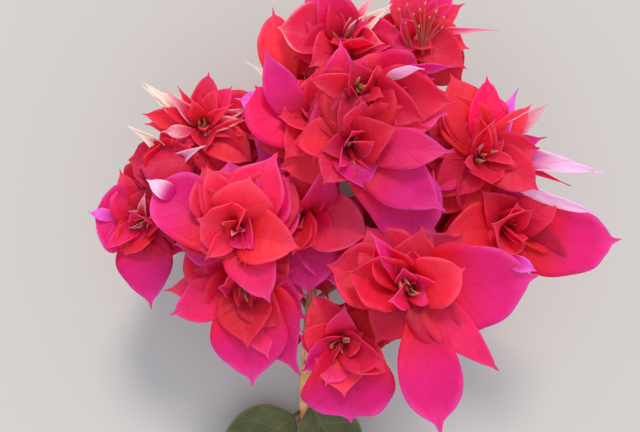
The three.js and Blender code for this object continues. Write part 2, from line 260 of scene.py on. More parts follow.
def blade_tree():
    tree = bpy.data.node_groups.new("blade along a rib", "GeometryNodeTree")
    given = sockets(tree, {"Geometry": "Geometry", "Points across": "Int", "Crinkle": "Float",
                           "Crinkle size": "Float", "Vein depth": "Float",
                           "Vein spacing": "Float", "Material": "Material"})
    half, across, cup, fold, seed, along = [
        add(tree, "GeometryNodeInputNamedAttribute", {"Name": key})
        for key in ("half", "across", "cup", "fold", "seed", "along")]
    side, face = [
        add(tree, "GeometryNodeInputNamedAttribute", {"Name": key}, data_type="FLOAT_VECTOR")
        for key in ("side", "face")]
    rib = add(tree, "GeometryNodeMeshToCurve", {"Mesh": given["Geometry"]})
    facing = add(tree, "GeometryNodeSetCurveNormal", mode="FREE").node
    tree.links.new(rib, facing.inputs["Curve"])
    tree.links.new(side, facing.inputs["Normal"])
    line = add(tree, "GeometryNodeCurvePrimitiveLine", {"Start": (-1, 0, 0), "End": (1, 0, 0)})
    cells = add(tree, "GeometryNodeResampleCurve", {"Curve": line,
                                                    "Count": given["Points across"]})
    place = add(tree, "GeometryNodeInputPosition")
    share = add(tree, "ShaderNodeSeparateXYZ", {0: place}, output="X")
    section = add(tree, "GeometryNodeStoreNamedAttribute", {
        "Geometry": cells, "Name": "across", "Value": share}, domain="POINT")
    sweep = add(tree, "GeometryNodeCurveToMesh", {
        "Curve": facing.outputs[0], "Profile Curve": section, "Scale": half})

    # The trough and the fold raise the edges, in shares of the half breadth
    square = add(tree, "ShaderNodeMath", {0: across, 1: across}, operation="MULTIPLY")
    soft = add(tree, "ShaderNodeMath", {0: square, 1: CREASE * CREASE}, operation="ADD")
    soft = add(tree, "ShaderNodeMath", {0: soft}, operation="SQRT")
    soft = add(tree, "ShaderNodeMath", {0: soft, 1: CREASE}, operation="SUBTRACT")
    raised = add(tree, "ShaderNodeMath", {0: soft, 1: fold}, operation="MULTIPLY")
    raised = add(tree, "ShaderNodeMath", {0: square, 1: cup, 2: raised},
                 operation="MULTIPLY_ADD")
    raised = add(tree, "ShaderNodeMath", {0: raised, 1: half}, operation="MULTIPLY")

    # The crinkle, from noise of its own for each blade
    size = add(tree, "ShaderNodeMath", {0: 1.0, 1: given["Crinkle size"]}, operation="DIVIDE")
    noise = add(tree, "ShaderNodeTexNoise", {"Vector": place, "Scale": size, "Detail": 2.0},
                output="Fac", noise_dimensions="4D")
    tree.links.new(seed, noise.node.inputs["W"])
    swing = add(tree, "ShaderNodeMath", {0: noise, 1: 2.0, 2: -1.0}, operation="MULTIPLY_ADD")
    edge = add(tree, "ShaderNodeMath", {0: soft, 1: EDGE_SHARE, 2: 1.0 - EDGE_SHARE},
               operation="MULTIPLY_ADD")
    swing = add(tree, "ShaderNodeMath", {0: swing, 1: edge}, operation="MULTIPLY")
    raised = add(tree, "ShaderNodeMath", {0: swing, 1: given["Crinkle"], 2: raised},
                 operation="MULTIPLY_ADD")

    # Sunken side veins, at a slant to the rib
    slant = add(tree, "ShaderNodeMath", {0: soft, 1: -VEIN_SLANT, 2: along},
                operation="MULTIPLY_ADD")
    count = add(tree, "ShaderNodeMath", {0: slant, 1: given["Vein spacing"]},
                operation="DIVIDE")
    ridge = add(tree, "ShaderNodeMath", {0: count, 1: 1.0}, operation="PINGPONG")
    ridge = add(tree, "ShaderNodeMath", {0: ridge, 1: 0.5}, operation="POWER")
    raised = add(tree, "ShaderNodeMath", {0: ridge, 1: given["Vein depth"], 2: raised},
                 operation="MULTIPLY_ADD")

    push = add(tree, "ShaderNodeVectorMath", {0: face, "Scale": raised}, operation="SCALE")
    moved = add(tree, "GeometryNodeSetPosition", {"Geometry": sweep, "Offset": push})
    welded = add(tree, "GeometryNodeMergeByDistance", {"Geometry": moved, "Distance": WELD})
    return finish_tree(tree, welded, given["Material"])


BLADES = blade_tree()
print("nodes in the blade tree:", len(BLADES.nodes))

# %% [markdown]
# A tree works on an object that carries it as a modifier. The next helpers put rows of points
# with their attributes into a mesh, run a tree on it, and keep the result as a plain mesh. A
# blade that comes out of the sweep has no thickness yet, so Solidify gives it the 0.24 mm of a
# crisp bract, with a rim that stays flat-shaded, so that the edge catches light as a thin line.

# %% Run a tree, and give a blade its thickness
def store(mesh, attributes):
    """Stores attributes, each a name with one value or one vector for every point."""
    for name, values in attributes.items():
        values = np.asarray(values, float)
        kind, field = ("FLOAT_VECTOR", "vector") if values.ndim == 2 else ("FLOAT", "value")
        mesh.attributes.new(name, kind, "POINT").data.foreach_set(field, values.ravel())


def rows_mesh(rows, attributes):
    """A mesh of separate rows of points, with their attributes."""
    points = np.concatenate(rows)
    starts = np.cumsum([0] + [len(row) for row in rows[:-1]])
    edges = [(start + i, start + i + 1)
             for start, row in zip(starts, rows) for i in range(len(row) - 1)]
    mesh = bpy.data.meshes.new("rows")
    mesh.from_pydata([tuple(point) for point in points], edges, [])
    store(mesh, attributes)
    return mesh


def plain_copy(thing, name):
    """The object's mesh as its modifiers leave it. The object itself is removed."""
    bpy.context.view_layer.update()
    graph = bpy.context.evaluated_depsgraph_get()
    mesh = bpy.data.meshes.new_from_object(thing.evaluated_get(graph), depsgraph=graph)
    mesh.name = name
    bpy.data.objects.remove(thing)
    return mesh


def run_tree(mesh, tree, settings, name):
    """Runs a tree on a mesh, with its named inputs set, and returns a plain mesh."""
    thing = put(name, mesh)
    modifier = thing.modifiers.new("tree", "NODES")
    modifier.node_group = tree
    for item in tree.interface.items_tree:
        if item.item_type == "SOCKET" and item.name in settings:
            modifier[item.identifier] = settings[item.name]
    return plain_copy(thing, name)


def thickened(mesh, thickness, name):
    """Gives an open blade its thickness and flat-shades its rim."""
    sides = 2 * len(mesh.polygons)
    thing = put(name, mesh)
    modifier = thing.modifiers.new("thickness", "SOLIDIFY")
    modifier.thickness = thickness
    modifier.offset = 0.0
    shell = plain_copy(thing, name)
    smooth = np.arange(len(shell.polygons)) < sides
    shell.polygons.foreach_set("use_smooth", smooth)
    return shell


def values_of(mesh, name):
    """The values of an attribute, one for each point."""
    values = np.zeros(len(mesh.vertices))
    mesh.attributes[name].data.foreach_get("value", values)
    return values


def points_of(mesh):
    """The places of a mesh's points, one row for each."""
    flat = np.zeros(len(mesh.vertices) * 3)
    mesh.vertices.foreach_get("co", flat)
    return flat.reshape(-1, 3)


PRESSED = 2.5 * MM                        # what hangs lower than this is pressed by the table


def press(mesh):
    """Bends what would reach below the table flat against it."""
    points = points_of(mesh)
    height = points[:, 2]
    points[:, 2] = np.where(height < PRESSED, PRESSED * np.exp(height / PRESSED - 1.0), height)
    mesh.vertices.foreach_set("co", points.ravel())


def keep(mesh, name, nodes, materials=()):
    """Puts a finished mesh into the scene as a piece that stands for those nodes."""
    for material in materials:
        mesh.materials.append(material)
    press(mesh)
    piece = put(name, mesh)
    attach(piece, "root")
    if nodes:
        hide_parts(*nodes)
    return piece


print("low parts are pressed into the last", PRESSED / MM, "mm above the table")

# %% [markdown]
# A bract leaves its bloom at the heart, rises, and bends over towards its tip, so four points of
# a Bezier curve describe its rib: the heart, a point above it, one before the tip, and the tip.
# The tips are where the photograph shows them. The blade is ovate, broadest below its middle,
# and drawn out to a point. What the photograph doesn't tell, such as how far a bract bends, is
# drawn from a seeded random source, so that each run gives the same spray.

# %% One bract from its row of sizes
HEART_DEPTH = 6.0                         # from the mouth of a bloom to its heart, mm
RIB_STEP = 1.4                            # between two points of a rib, mm
BASE_FULLNESS = 0.6                       # how fast a blade widens from its foot
CLAW = 0.13                               # breadth at the very foot, as a share of the greatest
DRIP_START = 0.9                          # where the drawn-out tip starts, along the rib
DRIP_BREADTH = 0.1                        # its breadth there, as a share of the greatest
FINE_STEPS = 60                           # points of the curve before it is spaced evenly
HEART_RADIUS = 1.2                        # mm from the middle of the heart to the foot of a bract
RISE_SHARE = 0.28                         # of its reach, over which a bract leaves its bloom
TIP_SHARE = 0.32                          # of its reach, over which it bends to its tip
LEAN = 8                                  # degrees that a bract may lean to one side
TWIST = 22                                # degrees that it may turn more by its tip
WAVE = 0.06                               # how much its breadth swells and shrinks, as a share
WAVE_TURNS = (7, 13)                      # radians of that wave from foot to tip
TIP_HALF = 0.02                           # mm, half the breadth at the very tip


UP = (0, 0, 1)                            # the way that the blooms of the upper side face


def unit(vector):
    return vector / np.linalg.norm(vector)


def ways_of(facing, clock):
    """The way of a bract, the way to its left, and the way that its bloom faces.

    Clock angles turn from right to up round the way that the bloom faces."""
    out = unit(np.array(facing, float))
    guide = (0.0, 1.0, 0.0) if abs(out[2]) > 0.95 else (0.0, 0.0, 1.0)
    right = unit(np.cross(guide, out))
    turn = math.radians(clock)
    ahead = right * math.cos(turn) + np.cross(out, right) * math.sin(turn)
    return ahead, np.cross(out, ahead), out


def extras_of(row):
    """What may follow the finish in a row: up to three offsets, and a style of its own."""
    own = row[-1] if isinstance(row[-1], dict) else {}
    offsets = [part for part in row[5:] if not isinstance(part, dict)]
    return (*offsets, 0, 0, 0)[:3], own


def outline(along, point, base=BASE_FULLNESS):
    """The half breadth of an ovate blade with a drawn-out tip, as a share of its greatest."""
    crest = base / (base + point)
    greatest = crest ** base * (1 - crest) ** point
    blade = np.clip(along / DRIP_START, 0, 1)
    ovate = blade ** base * (1 - blade) ** point / greatest
    drip = DRIP_BREADTH * np.clip((1 - along) / (1 - DRIP_START), 0, 1)
    return np.maximum(np.hypot(ovate, drip), CLAW * (1 - along) ** 2)


def runs_of(points):
    """How far along a row of points each of them is."""
    return np.concatenate([[0], np.cumsum(np.linalg.norm(np.diff(points, axis=0), axis=1))])


def bezier(corners, count):
    """Evenly spaced points of a Bezier curve, and how far along it each of them is."""
    t = np.linspace(0, 1, FINE_STEPS)[:, None]
    shares = ((1 - t) ** 3, 3 * t * (1 - t) ** 2, 3 * t * t * (1 - t), t ** 3)
    fine = sum(share * corner for share, corner in zip(shares, corners))
    lengths = runs_of(fine)
    count = count or int(np.clip(lengths[-1] / RIB_STEP, 9, 34))
    along = np.linspace(0, 1, count)
    return np.stack([np.interp(along * lengths[-1], lengths, c) for c in fine.T], 1), along


def ribbon_axes(rib, side):
    """The broad way and the face of a blade at each point of its rib."""
    tangent = np.gradient(rib, axis=0)
    tangent /= np.linalg.norm(tangent, axis=1)[:, None]
    side = side - tangent * np.sum(side * tangent, axis=1)[:, None]
    side /= np.linalg.norm(side, axis=1)[:, None]
    return side, np.cross(tangent, side)


def bract(at, facing, row, rng, style):
    """The rib of one bract, with the attributes that the sweep and the finish need."""
    clock, reach, breadth, rise, finish = row[:5]
    (slide, start, turned), own = extras_of(row)
    own = {**style, **own}
    ahead, left, out = ways_of(facing, clock)
    middle = np.array(at, float) + HEAD
    heart = middle - out * HEART_DEPTH + ahead * HEART_RADIUS
    foot = middle - out * (HEART_DEPTH / 2) + ahead * start + left * slide
    tip = middle + out * rise + ahead * reach + left * slide
    lift = rng.uniform(*own["lift"])
    bend = rng.uniform(*own["bend"])
    before = ahead * math.cos(bend) + out * math.sin(bend)
    corners = (heart, foot + ahead * RISE_SHARE * reach + out * lift,
               tip - before * TIP_SHARE * reach, tip)
    rib, along = bezier(corners, None)
    roll = turned + rng.uniform(-LEAN, LEAN) + along * rng.uniform(-TWIST, TWIST)
    roll = np.radians(roll)[:, None]
    side, face = ribbon_axes(rib, left * np.cos(roll) + out * np.sin(roll))
    swell = 1 + WAVE * np.sin(along * rng.uniform(*WAVE_TURNS) + rng.uniform(0, 6))
    half = breadth / 2 * outline(along, rng.uniform(*own["point"]), own["base"]) * swell
    half[-1] = TIP_HALF
    even = np.ones(len(along))
    return {
        "place": rib * MM, "side": side, "face": face, "half": half * MM, "along": along,
        "cup": even * rng.uniform(*own["cup"]), "fold": even * rng.uniform(*own["fold"]),
        "seed": even * rng.uniform(0, 50), "tint": even * rng.uniform(-1, 1),
        "finish": even * FINISH_NUMBER[finish],
    }


# Ranges that the random source draws from: lift in mm, bend in radians, the others as shares
OUTER = {"lift": (1.0, 4.0), "bend": (-0.7, 0.25), "cup": (0.02, 0.3), "fold": (0.05, 0.3),
         "point": (0.7, 0.95), "base": 0.6}
INNER = {"lift": (0.0, 4.0), "bend": (-0.3, 1.2), "cup": (0.1, 0.6), "fold": (0.0, 0.2),
         "point": (0.45, 0.8), "base": 0.6}
YOUNG = {"lift": (1.0, 2.0), "bend": (0.9, 1.4), "cup": (0.3, 0.8), "fold": (0.2, 0.5),
         "point": (0.8, 1.1), "base": 0.6}
test_row = bract((0, 0, 90), UP, (90, 30, 20, 0, "magenta"), random.Random(1), OUTER)
print("points in the rib of a 30 mm bract:", len(test_row["along"]))

# %% [markdown]
# Next come the blooms themselves. The fifteen of the upper side each have a table of their main
# bracts, in the same sizes as the model's solids: the direction on a clock face in degrees, how
# far out the tip is, the breadth, how far the tip is above the mouth, the finish, and where
# needed how far the bract is set off to its left, where it starts, and how far it is turned on
# edge, and last its style, where it isn't like most.

# %% The blooms of the upper side
CUPPED = {"cup": (0.6, 0.8), "bend": (0.3, 0.9), "lift": (-1.0, 0.5), "point": (0.45, 0.55)}
DOMED = {"cup": (-0.35, -0.2), "bend": (-0.6, -0.3), "point": (0.5, 0.6)}
ROUND = {"cup": (0.2, 0.35), "bend": (0.0, 0.4), "point": (0.5, 0.6)}
BLUNT = {"cup": (0.05, 0.2), "bend": (-0.4, 0.0), "point": (0.4, 0.45)}
FLAT = {"cup": (0.02, 0.1), "fold": (0.12, 0.2), "bend": (-0.3, -0.1), "point": (0.7, 0.8)}
KITE = {**FLAT, "base": 1.9, "point": (1.1, 1.2), "fold": (0.25, 0.3)}
LATE = {**FLAT, "base": 2.4}
HOOKED = {"cup": (0.05, 0.1), "bend": (-1.0, -0.8), "point": (0.9, 1.0)}
DRAWN = {"cup": (0.02, 0.1), "fold": (0.2, 0.3), "bend": (-0.3, 0.0), "point": (1.2, 1.3)}
THIN = {"cup": (0.3, 0.5), "fold": (0.3, 0.5), "bend": (-0.5, 0.5), "point": (1.0, 1.2)}
SHELL = {"cup": (-0.5, -0.4), "fold": (0.0, 0.0), "bend": (-1.1, -1.0), "lift": (5.0, 5.5),
         "point": (0.35, 0.4)}

# The middle of the mouth, how far its inside leans right and up, how many bracts it has in each
# inner whorl and how broad they are as a share of the rule's, and the main bracts
UPPER_BLOOMS = {
    "upper_left": ((-42, 32, 78), (0.0, 0.5), (2, 3, 5), 0.5, (
        (81, 19, 10, 2, "coral", ROUND), (52, 18, 8, 0, "pink", ROUND),
        (87, 10.5, 5.5, 6, "scarlet"), (107, 10, 6, 5, "coral"), (68, 15, 7, 1, "coral"),
        (120, 16, 5, 3, "coral", THIN), (146, 26.5, 7, -2, "cream", THIN),
        (141, 26, 3.5, 3, "cream", 1, THIN), (135, 18, 5, 4, "pale", THIN),
        (168, 22, 9, -3, "coral"), (177, 21, 8, -5, "coral"), (182, 13, 5, 6, "pale", 2.5, LATE),
        (155, 15, 6, 2, "scarlet"), (32, 14, 5, 3, "coral", THIN), (21, 18.5, 5, -1, "pale", THIN),
        (7, 16.5, 6, 0, "pale", THIN), (349, 18, 6, -2, "coral", THIN), (325, 22, 15, -4, "coral"),
        (300, 24, 18, -8, "scarlet"), (280, 10, 9, 2, "scarlet"))),
    "left_cup": ((-54, 18, 78), (0.3, 0.5), (0, 0, 0), 0.8, (
        (185, 11, 17, 3, "scarlet", 0, -30, SHELL), (262, 9, 8, 4, "pink"),
        (172, 14.5, 17, -2, "shaded_crimson", ROUND), (24, 16, 5, 6, "glare_lilac", 0, 2, THIN),
        (152, 18.7, 4.5, 3, "cream", -5.7, THIN), (215, 12, 17, -1, "shaded_crimson"),
        (95, 10, 18, -1, "scarlet", CUPPED), (20, 12, 16, 1, "scarlet"),
        (300, 8, 14, 0, "shaded_crimson", CUPPED))),
    "far_left": ((-65, -2, 72), (-0.6, -0.3), (0, 3, 3), 0.8, (
        (171, 18, 24, 0, "magenta", ROUND), (98, 15.5, 20, -1, "pink", ROUND),
        (169, 18.5, 5, 2.5, "glare_violet", 0, 9, LATE), (113, 21, 9, -3, "coral"),
        (220, 16, 7, 2, "pink"), (307, 18, 16, -6, "shaded_crimson"),
        (275, 32.5, 20, -6, "magenta", FLAT), (75, 11, 4, 4, "pale", THIN),
        (60, 15, 14, 0, "scarlet"), (20, 13, 13, 1, "scarlet"), (245, 14, 14, -2, "scarlet"))),
    "centre_left": ((-28, -5, 94), (0.0, -0.2), (2, 3, 2), 1.0, (
        (145, 35, 24, -8, "magenta", 4, ROUND), (185, 22, 17, -8, "shaded_crimson"),
        (114, 24, 13, 2, "coral"), (128, 21, 11, 1, "scarlet"), (63, 30, 22, -6, "pink"),
        (74, 19, 20, 6, "coral", DOMED), (295, 27, 17, -2, "pink", FLAT),
        (345, 22, 18, -2, "coral"), (223, 14, 8, 3, "coral"), (205, 15, 14, 1, "scarlet"))),
    "lower_left": ((-27, -24, 84), (0.0, -0.6), (2, 3, 2), 1.0, (
        (185, 29, 15, -8, "coral"), (203, 29, 15, -8, "pink"),
        (271.5, 37, 26, -8, "magenta", 2, FLAT), (276, 22, 19, 2, "shaded_crimson"),
        (289, 28.5, 14, -4, "pink"), (297, 39, 24, -10, "magenta", 2.5, DRAWN),
        (330, 26, 20, -9, "magenta"), (312, 20, 14, -3, "shaded_crimson"))),
    "middle": ((-7, 1, 82), (0.1, 0.3), (3, 3, 2), 1.0, (
        (90, 18, 13, 12, "pink", -8.5, -6), (318, 17, 13, 0, "hot"), (82, 20, 14, 4, "coral"),
        (115, 16, 14, 2, "coral"), (276, 30, 24, -6, "magenta", FLAT),
        (296, 29, 15, -4, "magenta"), (5, 22, 20, -8, "scarlet"), (338, 30, 18, -10, "magenta"),
        (288, 33, 17, -14, "shaded_crimson"), (66, 20, 15, 2, "pink", ROUND),
        (342, 26, 20, 6, "coral", ROUND))),
    "upper_centre_left": ((1, 34, 88), (-0.2, 0.3), (2, 3, 2), 1.0, (
        (110, 29, 13, 0, "magenta", 11, -8, FLAT), (127, 23.5, 24, -5, "hot", 12, -5.5, BLUNT),
        (95, 25, 12, 4, "pink", -8, 1), (98, 16, 12, 6, "scarlet"), (229, 20, 16, 2, "scarlet"),
        (262, 22, 18, -6, "magenta"), (308, 14, 12, 0, "scarlet"),
        (166.5, 32.5, 9, -9, "glare_violet", LATE), (145.5, 33.5, 4.5, -4, "cream", -1, 12, THIN))),
    "top_left": ((9, 63, 76), (-0.2, 0.4), (2, 4, 4), 0.9, (
        (169, 25, 19, -3, "rim_lit", ROUND), (200, 20, 16, 0, "scarlet"), (220, 17, 16, 4, "coral"),
        (129, 24, 17, -8, "magenta"), (101, 18, 13, 0, "scarlet"), (37, 21, 6, 0, "cream", THIN),
        (58, 19, 5, 0, "pale", THIN), (331, 24, 16, -6, "scarlet"), (350, 14, 11, 4, "rim_lit"),
        (8, 22, 15, -5, "pink"), (113, 23, 14, 5, "pink"), (212, 22, 14, -8, "scarlet"))),
    "top_right": ((35, 66, 74), (0.2, 0.5), (0, 2, 0), 0.7, (
        (116, 19, 12, -2, "coral"), (80, 20, 13, -4, "pink"), (48, 22, 9, -3, "magenta"),
        (33, 21.5, 9, -5, "coral"), (3, 31, 2.4, -4, "pale", THIN), (324, 22, 16, -2, "scarlet"),
        (345, 20, 15, -4, "coral"), (221, 14, 9, 0, "pink"))),
    "centre_top": ((15, 41, 96), (0.0, 0.1), (2, 4, 3), 0.9, (
        (0, 30, 6, 2, "magenta", 8, -1, 60, FLAT), (0, 19, 4.5, 4.5, "glare_white", 7, 4, 35, LATE),
        (12, 24, 14, -3, "pink"), (333, 22, 16, 3, "scarlet"), (355, 31, 18, -6, "scarlet"),
        (118, 11, 11, 2, "shaded_crimson"), (237, 17, 12, 0, "shaded_crimson"))),
    "centre": ((10, 23, 100), (0.2, -0.2), (2, 3, 2), 1.0, (
        (356.5, 34, 14, 0, "pink", FLAT), (326, 39, 19, -6, "magenta", FLAT),
        (315, 44, 24, -13, "magenta", BLUNT), (290, 16, 15, -2, "magenta"),
        (20, 16, 15, 5, "shaded_crimson"), (190, 10, 10, 0, "shaded_crimson"), (235, 16, 14, 2, "scarlet"))),
    "right": ((57, 22, 84), (0.4, 0.4), (2, 4, 4), 0.8, (
        (86, 27.5, 13, -6, "hot"), (61, 26, 10, -4, "glare_violet", DRAWN), (45, 24, 10, -2, "coral"),
        (37, 29.5, 8, -6, "pale"), (14.5, 24.5, 8, -8, "magenta"), (122, 27, 18, -6, "scarlet"),
        (110, 31, 18, -9, "scarlet"), (222, 24, 16, -4, "scarlet"), (235, 28, 19, -10, "scarlet"),
        (260, 26, 17, -8, "shaded_crimson"), (325, 23, 16, 0, "scarlet"), (5, 20, 14, -3, "scarlet"),
        (351.8, 47, 8, -12, "glare_lilac", THIN), (348, 46.5, 5, -4, "glare_white", -12, 0, 30, FLAT),
        (341, 34.5, 3, -8, "scarlet", THIN))),
    "far_right": ((68, -3, 80), (0.4, 0.0), (2, 4, 3), 1.0, (
        (5, 40.5, 26, -8, "magenta", -9, FLAT), (29, 18, 14, 0, "scarlet"),
        (135, 17, 14, 3, "scarlet"), (188, 27, 18, 2, "scarlet"), (245, 15, 14, 3, "scarlet"),
        (215, 24, 18, -12, "shaded_crimson"))),
    "lower_right": ((30, -24, 98), (0.0, 0.1), (1, 3, 3), 1.0, (
        (128, 20, 13, 5, "scarlet", CUPPED), (165, 22, 18, 2, "scarlet", CUPPED),
        (126.5, 24, 8, 7, "magenta", 0, 1, 45), (80, 21, 17, 0, "shaded_crimson"),
        (24, 18, 17, 8, "coral", BLUNT), (9, 43.5, 31, -3, "magenta", -2.5, FLAT),
        (317, 41.5, 13, -6, "pink", HOOKED), (280.5, 51, 22, -2, "magenta", 1, KITE),
        (310, 27, 17, -2, "shaded_crimson"), (340, 30, 20, -16, "scarlet"),
        (240, 23, 17, -9, "shaded_crimson"))),
    "lower_centre": ((7, -45, 82), (-0.1, -0.3), (2, 3, 3), 1.0, (
        (84, 15, 12, 5, "pink"), (272, 29, 31, -6, "magenta", 3, ROUND),
        (318, 25, 15, -8, "magenta"), (334, 20, 13, 3, "coral"), (160, 15, 13, 1, "scarlet"),
        (215, 16, 13, -2, "magenta"), (36, 22, 14, -2, "scarlet"), (118, 20, 15, -5, "scarlet"),
        (275, 18, 20, 1, "coral"))),
}

# Bracts of a bloom that spring from a small side shoot: the mouth of that shoot, and the bract
SIDE_SHOOTS = {
    "centre_left": (((-48.6, 6.5, 92), (151, 12.2, 6, -4, "glare_lilac", FLAT)),),
    "top_left": (((-12, 44, 72), (99.5, 33, 14, -4, "coral", ROUND)),),
    "lower_right": (((61, -13.8, 101), (337, 11.5, 5, -4, "glare_violet")),),
}
print("bracts told one by one:", sum(len(bloom[-1]) for bloom in UPPER_BLOOMS.values()))

# %% [markdown]
# Nine more blooms close the head at its sides and underneath. The photograph doesn't show them,
# so only their places are told one by one, and one rule sets the bracts of all.

# %% The blooms of the sides and the underside
# The middle of the mouth, the way it faces, the length of its bracts and where the first points
OTHER_BLOOMS = {
    "side_left": ((-46, 2, 44), (-0.95, 0, -0.1), 21, 10),
    "side_upper_left": ((-32, 32, 46), (-0.6, 0.75, -0.1), 24, 40),
    "side_top": ((2, 56, 42), (-0.1, 0.95, -0.2), 24, 0),
    "side_upper_right": ((50, 36, 46), (0.75, 0.6, -0.1), 25, 20),
    "side_right": ((60, -2, 44), (0.95, -0.2, -0.1), 26, 50),
    "side_lower": ((20, -36, 50), (0.35, -0.9, 0), 24, 15),
    "back_left": ((-32, -8, 7.5), (-0.35, -0.25, -0.9), 25, 30),
    "back_upper": ((-2, 38, 6), (-0.1, 0.3, -0.95), 27, 5),
    "back_right": ((36, 2, 6), (0.3, -0.1, -0.95), 28, 55),
}
WHORL = 5                                 # bracts in each of the two outer whorls
SHORTER = 0.88                            # every other bract is this share of the length
SECOND_WHORL = 0.8                        # its bracts are this share of the first whorl's length
BROAD = 0.72                              # the breadth of such a bract, as a share of its length
LOOSE = 8                                 # degrees off its place
DROOP = 0.12                              # how far below the mouth its tip is, as such a share
SECOND_RISE = 3                           # mm that the tips of the second whorl are higher


def ruled_rows(length, turn, rng):
    """Two outer whorls that alternate, for a bloom that the photograph doesn't show."""
    rows = []
    for i in range(2 * WHORL):
        own = length * (SHORTER if i % 2 else 1.0) * (1.0 if i < WHORL else SECOND_WHORL)
        clock = turn + 360 / WHORL * (i + (0.5 if i >= WHORL else 0.0)) + rng.uniform(-LOOSE, LOOSE)
        finish = rng.choice(("magenta", "magenta", "pink", "coral"))
        rise = -DROOP * length + (SECOND_RISE if i >= WHORL else 0)
        rows.append((clock, own, own * BROAD, rise, finish))
    return rows


print("blooms that follow the rule:", len(OTHER_BLOOMS))

# %% [markdown]
# Seen from straight above, the outline of the head is what the photograph tells, so nothing that
# a rule grows may stick out of it. A point is inside when it lies below one of the main bracts,
# or when there are blooms near it on all four sides. A bract must also keep clear of the few
# spots where the head is open and one sees through it. One that doesn't fit is made shorter.

# %% The outline of the head
NEAR = 52.0                               # mm between two blooms that are neighbours
SMALLER = (1.0, 0.8, 0.6)                 # the sizes in which a bract is tried
# The open spots: the middle of each, and how wide it is
OPEN_SPOTS = (((-49.5, -22.8), 6.0), ((6.5, 12.0), 3.0), ((-2.0, -35.6), 5.0),
              ((32.0, 60.0), 3.0), ((-6.0, -55.0), 4.5))
CLEARANCE = 1.2                           # room for a bract, as a share of half its breadth
SHARES = (0.4, 0.6, 0.8, 1.0)             # of its length, at which its clearance is measured
# Points at which a bract is tested: the share of its length, and of half its breadth
TESTED = ((0.5, 0.9), (0.5, -0.9), (0.8, 0.5), (0.8, -0.5), (1.0, 0.0))


def plan_of(at, row):
    """Where a main bract starts and which way it goes, seen from above, and half its breadth."""
    ahead, left, out = ways_of(UP, row[0])
    slide = extras_of(row)[0][0]
    return np.array(at[:2], float) + slide * left[:2], ahead[:2] * row[1], row[2] / 2


main_plan = [plan_of(bloom[0], row) for bloom in UPPER_BLOOMS.values() for row in bloom[-1]]
MAIN_STARTS, MAIN_WAYS, MAIN_HALVES = (np.array(part) for part in zip(*main_plan))
MOUTHS = np.array([bloom[0][:2] for bloom in UPPER_BLOOMS.values()], float)


def in_outline(spot):
    """Whether a point lies inside the outline of the head, seen from above."""
    aside = spot - MAIN_STARTS
    share = np.clip(np.sum(aside * MAIN_WAYS, 1) / np.sum(MAIN_WAYS ** 2, 1), 0, 1)
    gaps = np.linalg.norm(aside - share[:, None] * MAIN_WAYS, axis=1)
    if np.any(gaps < MAIN_HALVES * (1 - share ** 3)):
        return True
    ways = MOUTHS - spot
    near = ways[np.linalg.norm(ways, axis=1) < NEAR]
    return len({(bool(x > 0), bool(y > 0)) for x, y in near}) == 4


def leaves_open(start, tip, half):
    """Whether a bract from start to tip, half that broad, keeps clear of every open spot."""
    for spot, wide in OPEN_SPOTS:
        for share in SHARES:
            gap = np.linalg.norm(start + (tip - start) * share - spot)
            if gap < wide + half * CLEARANCE * (1 - share):
                return False
    return True


def fits(at, facing, row):
    """Whether a bract lies inside the outline and keeps clear of the open spots."""
    clock, reach, breadth, rise = row[:4]
    ahead, left, out = ways_of(facing, clock)
    way = ahead * reach + out * rise
    at = np.array(at, float)
    spots = [at + way * share + left * (aside * breadth / 2) for share, aside in TESTED]
    inside = all(in_outline(spot[:2]) for spot in spots)
    return inside and leaves_open(at[:2], (at + way)[:2], breadth / 2)


def fitted(at, facing, row):
    """The row as it is, or in the greatest smaller size that fits, or no row."""
    for size in SMALLER:
        tried = (row[0], row[1] * size, row[2] * size, row[3] * size, *row[4:])
        if fits(at, facing, tried):
            return [tried]
    return []


print("is the middle of the head inside its outline?", in_outline(np.array((0.0, 5.0))))

# %% [markdown]
# The head is closed between its blooms: low bracts of each bloom reach under its neighbours'. A
# rule sets those too. Each bloom of the upper side sends two broad bracts towards every near
# neighbour, a little lower than its other ones.

# %% Low bracts between neighbours
HALFWAY = 0.6                             # such a bract reaches over this share of the distance
LONGEST = 27.0                            # mm
APART = 15.0                              # degrees from the straight line to the neighbour
WANDER = 6                                # degrees more or less
LOW_REACHES = (0.9, 1.1)                  # how much chance changes the reach
LOW_BREADTHS = (0.75, 0.9)                # as a share of the reach
LOW_RISES = (-13, -7)                     # mm
LOW_FINISHES = ("shaded_crimson", "scarlet", "scarlet", "coral", "magenta", "pink")
LOW = {"lift": (-3.0, 0.0), "bend": (-0.4, 0.3), "cup": (0.0, 0.3), "fold": (0.05, 0.3),
       "point": (0.6, 0.8)}


def low_rows(name, rng):
    """Rows of the low bracts of one bloom."""
    at = np.array(UPPER_BLOOMS[name][0], float)
    rows = []
    for other, bloom in UPPER_BLOOMS.items():
        way = (np.array(bloom[0], float) - at)[:2]
        distance = np.linalg.norm(way)
        if other == name or distance > NEAR:
            continue
        for turn in (-APART, APART):
            clock = math.atan2(way[1], way[0]) + math.radians(turn + rng.uniform(-WANDER, WANDER))
            reach = min(HALFWAY * distance, LONGEST) * rng.uniform(*LOW_REACHES)
            breadth = reach * rng.uniform(*LOW_BREADTHS)
            tip = at[:2] + reach * np.array((math.cos(clock), math.sin(clock)))
            rise = rng.uniform(*LOW_RISES)
            finish = rng.choice(LOW_FINISHES)
            if leaves_open(at[:2], tip, breadth / 2):
                rows.append((math.degrees(clock), reach, breadth, rise, finish, LOW))
    return rows


print("low bracts of the middle bloom:", len(low_rows("middle", random.Random(1))))

# %% [markdown]
# The oldest bracts of a bloom bend back over its stalk. They are what makes the head a full ball
# from the sides, and they hide most of the stalks. Their rule is a loose ring round the heart,
# each bract at its own slope below the mouth.

